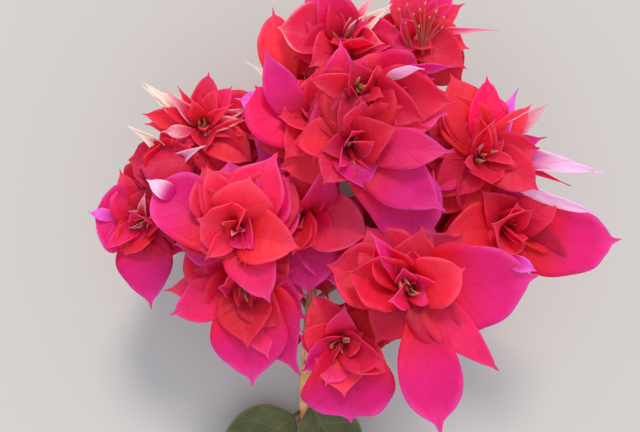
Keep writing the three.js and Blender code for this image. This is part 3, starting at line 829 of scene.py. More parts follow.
# %% Bracts that hang back over the stalk
GOLDEN_ANGLE = 137.5                      # degrees, by which a shoot turns each next leaf
SKIRT = 9                                 # such bracts round each bloom
SKIRT_SCATTER = 15                        # degrees off the golden angle
SKIRT_TURN = 20                           # degrees that one may be turned on edge
SKIRT_LENGTHS = (18, 28)                  # mm
SKIRT_SLOPES = (20, 75)                   # degrees
SKIRT_BREADTHS = (0.62, 0.8)              # as a share of the length
HANGING = {"lift": (-1.0, 2.0), "bend": (-1.3, -0.6), "cup": (-0.2, 0.2), "fold": (0.05, 0.3),
           "point": (0.55, 0.8)}
SHADED_FINISHES = ("magenta", "pink", "coral", "scarlet", "shaded_crimson")


def skirt_rows(at, facing, rng):
    """Rows of the bracts that hang back over the stalk of one bloom."""
    rows = []
    clock = rng.uniform(0, 360)
    for _ in range(SKIRT):
        clock += GOLDEN_ANGLE + rng.uniform(-SKIRT_SCATTER, SKIRT_SCATTER)
        length = rng.uniform(*SKIRT_LENGTHS)
        slope = math.radians(rng.uniform(*SKIRT_SLOPES))
        row = (clock, length * math.cos(slope), length * rng.uniform(*SKIRT_BREADTHS),
               -length * math.sin(slope), rng.choice(SHADED_FINISHES), 0, 0,
               rng.uniform(-SKIRT_TURN, SKIRT_TURN), HANGING)
        rows += fitted(at, facing, row)
    return rows


skirt = skirt_rows(UPPER_BLOOMS["right"][0], UP, random.Random(1))
print("hanging bracts of the right bloom:", len(skirt))

# %% [markdown]
# Inside the outer bracts every bloom is filled by the same rule, as a double one is: a whorl of
# shorter bracts that lean outwards, a second that stands steeper, and a tuft of narrow young ones
# round the heart. Each next bract is turned by the golden angle from the last, which is how a
# shoot sets its leaves, and chance then shifts, turns and sizes it a good deal, for an old head
# is a tangle and no rosette. Short bracts are dealt redder finishes, because the light that
# reaches them has come through others.

# %% The inner whorls of a bloom, and the pieces
POINTS_ACROSS = 11
BLADE_THICKNESS = 0.24 * MM
# The length and breadth in mm, how steeply they stand, the finishes and the style of each whorl
INNER_WHORLS = (
    ((12, 22), (10, 18), (0, 42), ("scarlet", "coral", "coral", "shaded_crimson", "pink"), INNER),
    ((8, 16), (5, 12), (20, 68), ("scarlet", "coral", "coral", "pink"), INNER),
    ((5, 8), (1.6, 2.8), (55, 85), ("young", "coral", "pale", "scarlet"), YOUNG),
)
FULL = (5, 4, 4)                          # bracts in each whorl, where the photo doesn't tell
SCATTER = 35                              # degrees off the golden angle
# How far chance moves such a bract to its left and ahead, in mm, and turns it, in degrees
SHIFTS = ((-4, 4), (-2, 3), (-50, 50))


def inner_rows(numbers, broad, rng):
    """The rule for the whorls inside the outer bracts, as rows with their style."""
    rows = []
    clock = rng.uniform(0, 360)
    for number, (lengths, breadths, slopes, finishes, style) in zip(numbers, INNER_WHORLS):
        for _ in range(number):
            clock += GOLDEN_ANGLE + rng.uniform(-SCATTER, SCATTER)
            length = rng.uniform(*lengths)
            slope = math.radians(rng.uniform(*slopes))
            rise = length * math.sin(slope) - HEART_DEPTH + 1
            breadth = rng.uniform(*breadths) * broad
            shifts = [rng.uniform(*span) for span in SHIFTS]
            rows.append(((clock, length * math.cos(slope), breadth, rise, rng.choice(finishes),
                          *shifts), style))
    return rows


def triangles_of(*pieces):
    return sum(len(polygon.vertices) - 2 for piece in pieces for polygon in piece.data.polygons)


def bract_mesh(name, ribs, across):
    """Bracts swept along their ribs as one plain mesh, each in its own finish."""
    attributes = {key: np.concatenate([rib[key] for rib in ribs])
                  for key in ribs[0] if key != "place"}
    mesh = rows_mesh([rib["place"] for rib in ribs], attributes)
    settings = {"Points across": across, "Crinkle": 2.0 * MM, "Crinkle size": 8.0 * MM,
                "Vein depth": 0.0, "Vein spacing": 1.0, "Material": BRACT_MATERIALS[0]}
    shell = thickened(run_tree(mesh, BLADES, settings, name), BLADE_THICKNESS, name)
    shell.materials.clear()
    finish = np.rint(values_of(shell, "finish")).astype(int)
    corners = np.zeros(len(shell.loops), int)
    shell.loops.foreach_get("vertex_index", corners)
    first = np.zeros(len(shell.polygons), int)
    shell.polygons.foreach_get("loop_start", first)
    used = sorted(set(finish[corners[first]]))
    numbers = np.searchsorted(used, finish[corners[first]])
    for number in used:
        shell.materials.append(BRACT_MATERIALS[number])
    shell.polygons.foreach_set("material_index", numbers)
    return shell


def outer_ribs(at, facing, rows, rng):
    """The ribs of outer bracts, one for each row."""
    return [bract(at, facing, row, rng, OUTER) for row in rows]


def inner_ribs(at, facing, numbers, broad, rng):
    """The ribs of the inner whorls."""
    return [bract(at, facing, row, rng, style) for row, style in inner_rows(numbers, broad, rng)]


def bloom_piece(name, ribs):
    """All the bracts of one bloom as one piece."""
    mesh = bract_mesh(name, ribs, POINTS_ACROSS)
    return keep(mesh, "bracts_" + name, ["bloom_" + name])


facings = {}                              # where each bloom is and the way its inside faces
blooms = []
for number, (name, (at, lean, numbers, broad, rows)) in enumerate(UPPER_BLOOMS.items()):
    source = random.Random(100 + number)
    facings[name] = (at, (*lean, 1.0))
    ribs = outer_ribs(at, UP, rows, source)
    ribs += outer_ribs(at, UP, low_rows(name, source), source)
    ribs += outer_ribs(at, UP, skirt_rows(at, UP, source), source)
    for shoot, row in SIDE_SHOOTS.get(name, ()):
        ribs += outer_ribs(shoot, UP, [row], source)
    ribs += inner_ribs(at, facings[name][1], numbers, broad, source)
    blooms.append(bloom_piece(name, ribs))
for number, (name, (at, facing, length, turn)) in enumerate(OTHER_BLOOMS.items()):
    source = random.Random(200 + number)
    facings[name] = (at, facing)
    ribs = outer_ribs(at, facing, ruled_rows(length, turn, source), source)
    ribs += outer_ribs(at, facing, skirt_rows(at, facing, source), source)
    ribs += inner_ribs(at, facing, FULL, 1.0, source)
    blooms.append(bloom_piece(name, ribs))
print("bloom pieces:", len(blooms), "triangles:", triangles_of(*blooms))

# %% [markdown]
# In the heart of each bloom stands a tuft of tiny bracts that are still rolled up, tan and
# dull red, like slender spindles. There are more than a hundred of them and they are all alike,
# so Geometry Nodes shape one from a sphere and put a turned and scaled copy on each point.

# %% The tufts in the hearts
BUDS = 6                                  # rolled bracts in a heart
BUD_LENGTHS = (4.5, 7.5)                  # mm
FOOT_SPREAD = 0.7                         # mm between their feet, about
WAY_SPREAD = 0.28                         # how far they stand apart, as a share of their length
BARE_HEARTS = ("left_cup", "top_right")   # one is closed over, the other holds a twig
# Tufts whose place and way the photograph tells, the length of their buds, and second tufts
TOLD_TUFTS = {
    "lower_right": ((27, -19, 93), (0.35, -1.1, 1.0), 9.0),
    "far_left": ((-61.5, 0.5, 68), (-1.3, -0.7, 1.0), 8.5),
    "centre_top": ((12, 43, 91), (0.1, 0.3, 1.0), 8.0),
    "centre_left": ((-26, -9, 89), (0.2, -0.2, 1.0), 6.5),
}
SECOND_TUFTS = (((16, 37, 90), (0.1, -0.3, 1.0)), ((-31, -1.5, 89), (-0.2, 0.2, 1.0)),
                ((-38, 29, 73), (0.5, -0.2, 1.0)))


def spindle_tree():
    tree = bpy.data.node_groups.new("spindles on points", "GeometryNodeTree")
    given = sockets(tree, {"Geometry": "Geometry", "Sides": "Int", "Slimness": "Float",
                           "Bend": "Float", "Material": "Material"})
    ball = add(tree, "GeometryNodeMeshUVSphere", {"Segments": given["Sides"], "Rings": 9})
    place = add(tree, "GeometryNodeInputPosition")
    parts = add(tree, "ShaderNodeSeparateXYZ", {0: place}, output="Z").node.outputs
    rise = add(tree, "ShaderNodeMath", {0: parts["Z"], 1: 0.5, 2: 0.5}, operation="MULTIPLY_ADD")
    marked = add(tree, "GeometryNodeStoreNamedAttribute", {
        "Geometry": ball, "Name": "along", "Value": rise}, domain="POINT")
    share = add(tree, "ShaderNodeMath", {0: rise, 1: -0.7, 2: 1.25}, operation="MULTIPLY_ADD")
    share = add(tree, "ShaderNodeMath", {0: share, 1: given["Slimness"]}, operation="MULTIPLY")
    leaning = add(tree, "ShaderNodeMath", {0: rise, 1: 2.0}, operation="POWER")
    leaning = add(tree, "ShaderNodeMath", {0: leaning, 1: given["Bend"]}, operation="MULTIPLY")
    wide = add(tree, "ShaderNodeMath", {0: parts["X"], 1: share, 2: leaning},
               operation="MULTIPLY_ADD")
    deep = add(tree, "ShaderNodeMath", {0: parts["Y"], 1: share}, operation="MULTIPLY")
    shaped = add(tree, "ShaderNodeCombineXYZ", {"X": wide, "Y": deep, "Z": rise})
    spindle = add(tree, "GeometryNodeSetPosition", {"Geometry": marked, "Position": shaped})
    way = add(tree, "GeometryNodeInputNamedAttribute", {"Name": "way"}, data_type="FLOAT_VECTOR")
    size = add(tree, "GeometryNodeInputNamedAttribute", {"Name": "size"})
    turned = add(tree, "FunctionNodeAlignRotationToVector", {"Vector": way}, axis="Z")
    placed = add(tree, "GeometryNodeInstanceOnPoints", {
        "Points": given["Geometry"], "Instance": spindle, "Rotation": turned, "Scale": size})
    return finish_tree(tree, placed, given["Material"])


def rolled_bract_material(name, greenish, reddish, tip):
    """Rolled young bract or bud: greenish to reddish at the foot, paler at the tip, matt."""
    material, tree = new_material(name)
    along, tint = [add(tree, "ShaderNodeAttribute", output="Fac", attribute_name=key)
                   for key in ("along", "tint")]
    place = add(tree, "ShaderNodeTexCoord", output="Object")
    streaks = add(tree, "ShaderNodeTexNoise", {"Vector": place, "Scale": 1 / (0.8 * MM)},
                  output="Fac")
    older = add(tree, "ShaderNodeMix", {"Factor": tint, "A": colour(greenish),
                                        "B": colour(reddish)}, data_type="RGBA")
    reach = add(tree, "ShaderNodeMath", {0: streaks, 1: 0.3, 2: along}, operation="MULTIPLY_ADD")
    high = add(tree, "ShaderNodeMapRange", {"Value": reach, "From Min": 0.4, "From Max": 1.15})
    shown = add(tree, "ShaderNodeMix", {"Factor": high, "A": older, "B": colour(tip)},
                data_type="RGBA")
    bump = add(tree, "ShaderNodeBump", {"Height": streaks, "Strength": 0.4,
                                        "Distance": 0.1 * MM})
    surface = add(tree, "ShaderNodeBsdfPrincipled", {"Base Color": shown, "Roughness": 0.55,
                                                     "Normal": bump})
    add(tree, "ShaderNodeOutputMaterial", {"Surface": surface})
    return material


def whole_way(name):
    """The way that a whole bloom faces, from which its inside may lean."""
    return np.array(UP, float) if name in UPPER_BLOOMS else unit(np.array(facings[name][1], float))


def tuft_of(name):
    """The foot of a bloom's tuft, the way that it points, and the length of its longest bud."""
    if name in TOLD_TUFTS:
        return TOLD_TUFTS[name]
    at, facing = facings[name]
    return np.array(at, float) - whole_way(name) * HEART_DEPTH, facing, BUD_LENGTHS[1]


tufts = [tuft_of(name) for name in facings if name not in BARE_HEARTS]
tufts += [(foot, way, BUD_LENGTHS[1]) for foot, way in SECOND_TUFTS]
source = random.Random(300)
bud_places, bud_ways, bud_sizes = [], [], []
for foot, way, longest in tufts:
    for _ in range(BUDS):
        spread = np.array([source.gauss(0, 1) for _ in range(3)])
        bud_places.append(np.array(foot, float) + HEAD + spread * FOOT_SPREAD)
        bud_ways.append(unit(unit(np.array(way, float)) + spread * WAY_SPREAD))
        bud_sizes.append(source.uniform(BUD_LENGTHS[0] / BUD_LENGTHS[1], 1.0) * longest)
SPINDLES = spindle_tree()
# Young bract rolled up lengthwise, tan to dull red with a paler tip, matt
ROLLED_BRACT = rolled_bract_material("rolled young bract", "86603A", "A44A38", "C48058")


def bud_mesh(places, ways, sizes, slimness, material, name):
    """Rolled bracts or buds on the given points as one plain mesh."""
    mesh = bpy.data.meshes.new(name)
    mesh.from_pydata([tuple(place * MM) for place in places], [], [])
    tints = [source.random() for _ in places]
    store(mesh, {"way": ways, "size": np.array(sizes) * MM, "tint": tints})
    settings = {"Sides": 7, "Slimness": slimness, "Bend": 0.16, "Material": material}
    made = run_tree(mesh, SPINDLES, settings, name)
    made.polygons.foreach_set("use_smooth", np.ones(len(made.polygons), bool))
    return made


tuft_mesh = bud_mesh(bud_places, bud_ways, bud_sizes, 0.11, ROLLED_BRACT, "tufts")
keep(tuft_mesh, "heart_tufts", [])
print("rolled bracts:", len(bud_places), "faces:", len(tuft_mesh.polygons))

# %% [markdown]
# Stalks and stem are limbs: round, tapering, and bent along a curve. A second sweep makes them,
# with a circle for its profile in place of the flat line, and noise drawn out along the limb
# raises the fine ridges of the bark. The sweep stores where each point is round and along the
# limb, so that the grain of the finish follows the limb through its bends.

# %% A tree that sweeps a limb along a path
def limb_tree():
    tree = bpy.data.node_groups.new("limb along a path", "GeometryNodeTree")
    given = sockets(tree, {"Geometry": "Geometry", "Points around": "Int", "Girth": "Float",
                           "Relief": "Float", "Ridge width": "Float", "Material": "Material"})
    path = add(tree, "GeometryNodeMeshToCurve", {"Mesh": given["Geometry"]})
    ring = add(tree, "GeometryNodeCurvePrimitiveCircle", {
        "Resolution": given["Points around"], "Radius": 1.0}, mode="RADIUS")
    place = add(tree, "GeometryNodeInputPosition")
    marked = add(tree, "GeometryNodeStoreNamedAttribute", {
        "Geometry": ring, "Name": "ring", "Value": place}, data_type="FLOAT_VECTOR",
        domain="POINT")
    half = add(tree, "GeometryNodeInputNamedAttribute", {"Name": "half"})
    tube = add(tree, "GeometryNodeCurveToMesh", {
        "Curve": path, "Profile Curve": marked, "Scale": half, "Fill Caps": True})
    ringed = add(tree, "GeometryNodeInputNamedAttribute", {"Name": "ring"},
                 data_type="FLOAT_VECTOR")
    around = add(tree, "ShaderNodeVectorMath", {0: ringed, "Scale": given["Girth"]},
                 operation="SCALE")
    run = add(tree, "GeometryNodeInputNamedAttribute", {"Name": "run"})
    lift = add(tree, "ShaderNodeCombineXYZ", {"Z": run})
    grain = add(tree, "ShaderNodeVectorMath", {0: around, 1: lift}, operation="ADD")
    grained = add(tree, "GeometryNodeStoreNamedAttribute", {
        "Geometry": tube, "Name": "grain", "Value": grain}, data_type="FLOAT_VECTOR",
        domain="POINT")
    stored = add(tree, "GeometryNodeInputNamedAttribute", {"Name": "grain"},
                 data_type="FLOAT_VECTOR")
    drawn = add(tree, "ShaderNodeVectorMath", {0: stored, 1: (1.0, 1.0, 0.15)},
                operation="MULTIPLY")
    scale = add(tree, "ShaderNodeMath", {0: 1.0, 1: given["Ridge width"]}, operation="DIVIDE")
    ridges = add(tree, "ShaderNodeTexNoise", {"Vector": drawn, "Scale": scale, "Detail": 3.0},
                 output="Fac")
    swing = add(tree, "ShaderNodeMath", {0: ridges, 1: 0.5}, operation="SUBTRACT")
    swing = add(tree, "ShaderNodeMath", {0: swing, 1: given["Relief"]}, operation="MULTIPLY")
    outward = add(tree, "GeometryNodeInputNormal", output="Normal")
    push = add(tree, "ShaderNodeVectorMath", {0: outward, "Scale": swing}, operation="SCALE")
    moved = add(tree, "GeometryNodeSetPosition", {"Geometry": grained, "Offset": push})
    return finish_tree(tree, moved, given["Material"])


LIMBS = limb_tree()


def limb_mesh(paths, radii, settings, name):
    """Limbs along rows of points in mm, with a radius for each point, as one plain mesh."""
    runs = [runs_of(path) for path in paths]
    attributes = {
        "half": np.concatenate(radii) * MM, "run": np.concatenate(runs) * MM,
        "along": np.concatenate([run / run[-1] for run in runs]),
        "tint": np.concatenate([np.full(len(run), i * 0.618 % 1) for i, run in enumerate(runs)]),
    }
    made = run_tree(rows_mesh([path * MM for path in paths], attributes), LIMBS, settings, name)
    sides = np.array([len(polygon.vertices) <= 4 for polygon in made.polygons])
    made.polygons.foreach_set("use_smooth", sides)
    return made


print("nodes in the limb tree:", len(LIMBS.nodes))

# %% [markdown]
# The stem is a young woody cane. Its path is the model's own: a smooth curve through seven
# points, of the kind called centripetal Catmull-Rom, which passes through each of them without
# overshooting. It is cut square at the foot. The stalks leave it below their blooms, sag a
# little, and swell where the bracts spring from them.

# %% The path of the stem
STEM_PATH = np.array(((-7, -112, 1.6), (-7, -88, 5), (-6, -66, 17), (-4, -38, 33), (0, -6, 46),
                      (5, 26, 51), (10, 48, 52)), float)
STEM_FOOT_RADIUS = 2.7
STEM_TIP_RADIUS = 1.3
STEM_CUT_Y = -103.0
STEM_POINTS = 150
STEPS = 60                                # between two points of the path


def smooth_path(points):
    """A centripetal Catmull-Rom curve through the points, as many short steps."""
    ends = (2 * points[0] - points[1], 2 * points[-1] - points[-2])
    rows = np.concatenate([[ends[0]], points, [ends[1]]])
    t = np.linspace(0, 1, STEPS, endpoint=False)[:, None]
    path = []
    for a, b, c, d in zip(rows, rows[1:], rows[2:], rows[3:]):
        before, span, after = (np.linalg.norm(q - p) ** 0.5 for p, q in ((a, b), (b, c), (c, d)))
        leaving = span * ((b - a) / before - (c - a) / (before + span) + (c - b) / span)
        coming = span * ((c - b) / span - (d - b) / (span + after) + (d - c) / after)
        path.append(b + leaving * t + (3 * (c - b) - 2 * leaving - coming) * t ** 2
                    + (2 * (b - c) + leaving + coming) * t ** 3)
    return np.concatenate(path + [points[-1:]])


stem_line = smooth_path(STEM_PATH)
stem_runs = runs_of(stem_line)
stem_length = stem_runs[-1]


def stem_at(share):
    """The point of the stem at that share of its length."""
    return np.array([np.interp(share * stem_length, stem_runs, c) for c in stem_line.T])


def stem_radius(share):
    return STEM_FOOT_RADIUS + (STEM_TIP_RADIUS - STEM_FOOT_RADIUS) * share


print("length of the stem's path in mm:", round(stem_length, 1))

# %% [markdown]
# Young bark is tan and cream with brown streaks along the grain, and pale pores. The stalks are
# soft, reddish and faintly green. Both finishes are drawn out along the limb, by the place round
# and along it that the sweep stored. Where the stem is cut, fresh wood shows: cream, with a thin
# brown rind and a pale pith.

# %% Finishes of the stem and the stalks
def bark_material():
    """Young bark: tan with brown streaks along the grain and pale pores, matt."""
    material, tree = new_material("young bark")
    grain = add(tree, "ShaderNodeAttribute", output="Vector", attribute_name="grain")
    drawn = add(tree, "ShaderNodeVectorMath", {0: grain, 1: (1.0, 1.0, 0.1)},
                operation="MULTIPLY")
    streaks = add(tree, "ShaderNodeTexNoise", {"Vector": drawn, "Scale": 1 / (0.7 * MM),
                                               "Detail": 4.0}, output="Fac")
    patches = add(tree, "ShaderNodeTexNoise", {"Vector": grain, "Scale": 1 / (9 * MM),
                                               "Detail": 2.0}, output="Fac")
    mixed = add(tree, "ShaderNodeMath", {0: patches, 1: 0.9, 2: streaks},
                operation="MULTIPLY_ADD")
    light = add(tree, "ShaderNodeMapRange", {"Value": mixed, "From Min": 0.7, "From Max": 1.2})
    bark = add(tree, "ShaderNodeMix", {"Factor": light, "A": colour("8C5028"),
                                       "B": colour("E8B470")}, data_type="RGBA")
    cells = add(tree, "ShaderNodeTexVoronoi", {"Vector": grain, "Scale": 1 / (3.2 * MM)},
                output="Distance")
    pore = add(tree, "ShaderNodeMapRange", {"Value": cells, "From Min": 0.2, "From Max": 0.12})
    shown = add(tree, "ShaderNodeMix", {"Factor": pore, "A": bark, "B": colour("E6CFA4")},
                data_type="RGBA")
    height = add(tree, "ShaderNodeMath", {0: pore, 1: 0.5, 2: streaks},
                 operation="MULTIPLY_ADD")
    bump = add(tree, "ShaderNodeBump", {"Height": height, "Strength": 0.6, "Distance": 0.2 * MM})
    surface = add(tree, "ShaderNodeBsdfPrincipled", {"Base Color": shown, "Roughness": 0.72,
                                                     "Normal": bump})
    add(tree, "ShaderNodeOutputMaterial", {"Surface": surface})
    return material


def cut_wood_material(middle):
    """Freshly cut wood: cream, with faint rings, a pale pith and a brown rind."""
    material, tree = new_material("freshly cut wood")
    place = add(tree, "ShaderNodeTexCoord", output="Object")
    away = add(tree, "ShaderNodeVectorMath", {0: place, 1: tuple(middle * MM)},
               output="Value", operation="DISTANCE")
    share = add(tree, "ShaderNodeMath", {0: away, 1: STEM_FOOT_RADIUS * MM}, operation="DIVIDE")
    rings = add(tree, "ShaderNodeMath", {0: share, 1: 28.0}, operation="MULTIPLY")
    rings = add(tree, "ShaderNodeMath", {0: rings}, operation="SINE")
    rings = add(tree, "ShaderNodeMath", {0: rings, 1: 0.5, 2: 0.5}, operation="MULTIPLY_ADD")
    wood = add(tree, "ShaderNodeMix", {"Factor": rings, "A": colour("E2CB9C"),
                                       "B": colour("CDAE78")}, data_type="RGBA")
    pith = add(tree, "ShaderNodeMapRange", {"Value": share, "From Min": 0.26, "From Max": 0.2})
    inner = add(tree, "ShaderNodeMix", {"Factor": pith, "A": wood, "B": colour("F2EAD0")},
                data_type="RGBA")
    rind = add(tree, "ShaderNodeMapRange", {"Value": share, "From Min": 0.86, "From Max": 0.93})
    shown = add(tree, "ShaderNodeMix", {"Factor": rind, "A": inner, "B": colour("7A5A30")},
                data_type="RGBA")
    surface = add(tree, "ShaderNodeBsdfPrincipled", {"Base Color": shown, "Roughness": 0.8})
    add(tree, "ShaderNodeOutputMaterial", {"Surface": surface})
    return material


def stalk_material():
    """Soft flower stalk: dull red, greener towards the stem, with a slight sheen."""
    material, tree = new_material("soft flower stalk")
    along = add(tree, "ShaderNodeAttribute", output="Fac", attribute_name="along")
    grain = add(tree, "ShaderNodeAttribute", output="Vector", attribute_name="grain")
    drawn = add(tree, "ShaderNodeVectorMath", {0: grain, 1: (1.0, 1.0, 0.12)},
                operation="MULTIPLY")
    streaks = add(tree, "ShaderNodeTexNoise", {"Vector": drawn, "Scale": 1 / (0.5 * MM),
                                               "Detail": 3.0}, output="Fac")
    reach = add(tree, "ShaderNodeMath", {0: streaks, 1: 0.5, 2: along},
                operation="MULTIPLY_ADD")
    red = add(tree, "ShaderNodeMapRange", {"Value": reach, "From Min": 0.25, "From Max": 0.9})
    shown = add(tree, "ShaderNodeMix", {"Factor": red, "A": colour("85743C"),
                                        "B": colour("B03A2E")}, data_type="RGBA")
    bump = add(tree, "ShaderNodeBump", {"Height": streaks, "Strength": 0.4,
                                        "Distance": 0.1 * MM})
    surface = add(tree, "ShaderNodeBsdfPrincipled", {
        "Base Color": shown, "Roughness": 0.5, "Normal": bump, "Sheen Weight": 0.15})
    add(tree, "ShaderNodeOutputMaterial", {"Surface": surface})
    return material


print("bark, cut wood and stalk: three finishes that follow the limb")

# %% [markdown]
# The stem is one limb. The sweep leaves its foot at a slant, so the points of the foot are moved
# to the plane of the cut, and the cut gets the finish of fresh wood.

# %% The stem
shares = np.linspace(0, 1, STEM_POINTS)
stem_points = np.array([stem_at(share) for share in shares])
kept = stem_points[:, 1] > STEM_CUT_Y
cut_share = np.interp(STEM_CUT_Y, stem_points[:, 1], shares)
shares = np.concatenate([[cut_share], shares[kept]])
stem_points = np.array([stem_at(share) for share in shares]) + HEAD
stem = limb_mesh([stem_points], [stem_radius(shares)], {
    "Points around": 28, "Girth": 2.4 * MM, "Relief": 0.5 * MM, "Ridge width": 0.9 * MM,
    "Material": bark_material()}, "stem")

# The cut is square to the part, so every point of the foot goes to one plane
points = points_of(stem)
points[values_of(stem, "along") < 1e-6, 1] = (STEM_CUT_Y + HEAD[1]) * MM
stem.vertices.foreach_set("co", points.ravel())
stem.materials.append(cut_wood_material(stem_points[0]))
caps = np.array([len(polygon.vertices) > 4 for polygon in stem.polygons])
stem.polygons.foreach_set("material_index", caps.astype(int))
keep(stem, "woody_stem", ["stem"])
print("stem faces:", len(stem.polygons), "caps:", int(caps.sum()))

# %% [markdown]
# One mesh holds all the stalks. Each starts on the stem, below the place that is nearest to its
# bloom. In the top right bloom a small twig with closed buds stands where the heart would be.

# %% The stalks
STALK_FOOT_RADIUS = 1.25
STALK_TIP_RADIUS = 0.85
SWELLING = 1.1                            # more radius where the bracts spring from the stalk
SWELLS_FROM = 0.78                        # of its length
STALK_DROP = 0.35                         # how far below its bloom a stalk starts, as a share
STALK_SAG = 2.0
STALK_BEND = 0.55                         # where it bends, as a share of its length
STALK_POINTS = 14                         # of its bend, before its straight end
STALK_TOP = 0.6                           # mm that it reaches past the heart
STALK_REACH = 14.28                       # from the mouth of a bloom down to the model's stalk
BARE_STEM = 0.34                          # no stalks on this share of the stem
TWIG_FOOT = np.array((36.5, 50.0, 66.0))  # a small branching stalk in the top right bloom
TWIG_FORKS = np.array(((33.0, 60.0, 73.0), (37.0, 61.5, 74.0), (40.0, 58.5, 72.0)))
TWIG_TIPS = ((28, 71.5, 79), (30, 67, 81), (31, 74, 77), (32.5, 69.5, 82), (26.5, 66.5, 78),
             (35, 71.5, 80), (37, 74, 78), (38, 68.5, 82), (34.5, 65.5, 81), (40.5, 71, 79),
             (42.5, 65.5, 80), (43.5, 69.5, 77))
TWIG_RADII = (0.5, 0.25)
TWIG_BUDS = (1.2, 2.2)                    # mm long


def stalk_path(name):
    """From the middle of the stem to the heart of a bloom."""
    at = np.array(facings[name][0], float)
    out = whole_way(name)
    steps = np.arange(0, 1.0001, 0.02)
    gaps = [np.linalg.norm(stem_at(step) - at) for step in steps]
    nearest = int(np.argmin(gaps))
    share = max(steps[nearest] - STALK_DROP * gaps[nearest] / stem_length, BARE_STEM)
    foot = stem_at(share)
    tip = at - out * STALK_REACH
    bend = foot + (tip - foot) * STALK_BEND - out * STALK_SAG
    t = np.linspace(0, 1, STALK_POINTS)[:, None]
    path = (1 - t) ** 2 * foot + 2 * t * (1 - t) * bend + t * t * tip
    end = [tip + (at - out * (HEART_DEPTH - STALK_TOP) - tip) * s for s in (0.35, 0.7, 1.0)]
    return np.concatenate([path, end]) + HEAD


paths = [stalk_path(name) for name in facings]
radii = []
for path in paths:
    along = np.linspace(0, 1, len(path))
    radius = STALK_FOOT_RADIUS + (STALK_TIP_RADIUS - STALK_FOOT_RADIUS) * along
    radii.append(radius + SWELLING * np.clip((along - SWELLS_FROM) / (1 - SWELLS_FROM), 0, 1) ** 2)
for tip in TWIG_TIPS:
    tip = np.array(tip, float)
    fork = TWIG_FORKS[np.argmin(np.linalg.norm(TWIG_FORKS - tip, axis=1))]
    path, along = bezier((TWIG_FOOT, fork, fork, tip), 12)
    paths.append(path + HEAD)
    radii.append(TWIG_RADII[0] + (TWIG_RADII[1] - TWIG_RADII[0]) * along)
STALK = stalk_material()
stalks = limb_mesh(paths, radii, {
    "Points around": 10, "Girth": 1.0 * MM, "Relief": 0.15 * MM, "Ridge width": 0.6 * MM,
    "Material": STALK}, "stalks")
keep(stalks, "stalks", ["stalk_" + name for name in facings])
# Closed flower bud: coral, with a paler tip
CLOSED_BUD = rolled_bract_material("closed flower bud", "B8502C", "D03430", "E4705C")
twig_buds = bud_mesh([np.array(tip) + HEAD for tip in TWIG_TIPS],
                     [unit(np.array(tip) - TWIG_FOOT) for tip in TWIG_TIPS],
                     [source.uniform(*TWIG_BUDS) for _ in TWIG_TIPS], 0.3, CLOSED_BUD,
                     "twig_buds")
keep(twig_buds, "twig_buds", [])
print("stalks:", len(paths), "faces:", len(stalks.polygons))

# %% [markdown]
# Smaller sprigs of bracts fill the head between the blooms. Some sit on the stalks on their way
# out. The others are spread over the sides and the underside of the head: directions are tried
# one after the other, turned by the golden angle, and a sprig is set where there is still room
# and a stalk near enough to bear it, on a thin stalk of its own. Sprigs follow the rule of the
# inner whorls, with broad bracts more.

# %% Where the sprigs are
SPRIG_PLACES = (0.5, 0.74)                # along a stalk
LONG_STALK = 45.0                         # mm; only longer stalks have two
HEAD_MIDDLE = np.array((2.0, 6.0, 46.0))
LOWEST = 14.0                             # mm above the table
DIRECTIONS = 220                          # that are tried for the other sprigs
REACHES = np.array((68.0, 60.0, 34.0))    # mm, the farthest that they are from the middle
INSET = 13.0                              # mm inside the outline of the head
SPRIG_GAP = 19.0                          # mm from the mouths of other sprigs and blooms
HIGHEST = 72.0                            # mm above the table
SPOT_GAP = 13.0                           # mm from the rim of an open spot
STALK_SHARE = 12.0                        # mm of its own stalk that run straight to a sprig
LONGEST_STALK = 26.0                      # mm from there to the nearest stalk of a bloom
STRAY = 4.0                               # mm by which chance turns a sprig on a stalk
OTHER_STRAY = 0.2                         # the same for the other sprigs, as a share


def clear_of_spots(at):
    return all(np.linalg.norm(at[:2] - spot) > wide + SPOT_GAP for spot, wide in OPEN_SPOTS)


def outer_place(number):
    """A place just inside the surface of the head, in the direction with that number."""
    height = 1 - 2 * (number + 0.5) / DIRECTIONS
    turn = math.radians(number * GOLDEN_ANGLE)
    flat = math.sqrt(1 - height * height)
    way = np.array((flat * math.cos(turn), flat * math.sin(turn), height))
    for share in np.linspace(1.0, 0.3, 36):
        at = HEAD_MIDDLE + way * REACHES * share
        if in_outline(at[:2] + INSET * unit(way[:2])):
            break
    return at, way


source = random.Random(500)
sprig_places = []                         # the heart of each sprig and the way that it faces
for path in paths[:len(facings)]:
    for share in SPRIG_PLACES[:2 if runs_of(path)[-1] > LONG_STALK else 1]:
        at = path[int(share * (len(path) - 1))] - HEAD
        facing = unit(at - HEAD_MIDDLE + np.array([source.gauss(0, STRAY) for _ in range(3)]))
        if at[2] > LOWEST and clear_of_spots(at):
            sprig_places.append((at, facing))
on_stalks = len(sprig_places)
taken = [np.array(at, float) for at, facing in facings.values()]
taken += [at + facing * HEART_DEPTH for at, facing in sprig_places]
old_points = np.concatenate(paths[:len(facings)]) - HEAD
for number in range(DIRECTIONS):
    at, way = outer_place(number)
    free = min(np.linalg.norm(at - other) for other in taken) > SPRIG_GAP
    under = at - way * (HEART_DEPTH + STALK_SHARE)
    near = np.linalg.norm(old_points - under, axis=1).min() < LONGEST_STALK
    if free and near and LOWEST < at[2] < HIGHEST and clear_of_spots(at):
        facing = unit(way + np.array([source.gauss(0, OTHER_STRAY) for _ in range(3)]))
        taken.append(at)
        sprig_places.append((at - facing * HEART_DEPTH, facing))
print("sprigs on stalks:", on_stalks, "others:", len(sprig_places) - on_stalks)

# %% [markdown]
# A sprig has a loose ring of broad bracts, which keep inside the outline as the hanging bracts
# do, and a few small ones inside. The thin stalks leave the nearest point of the others.

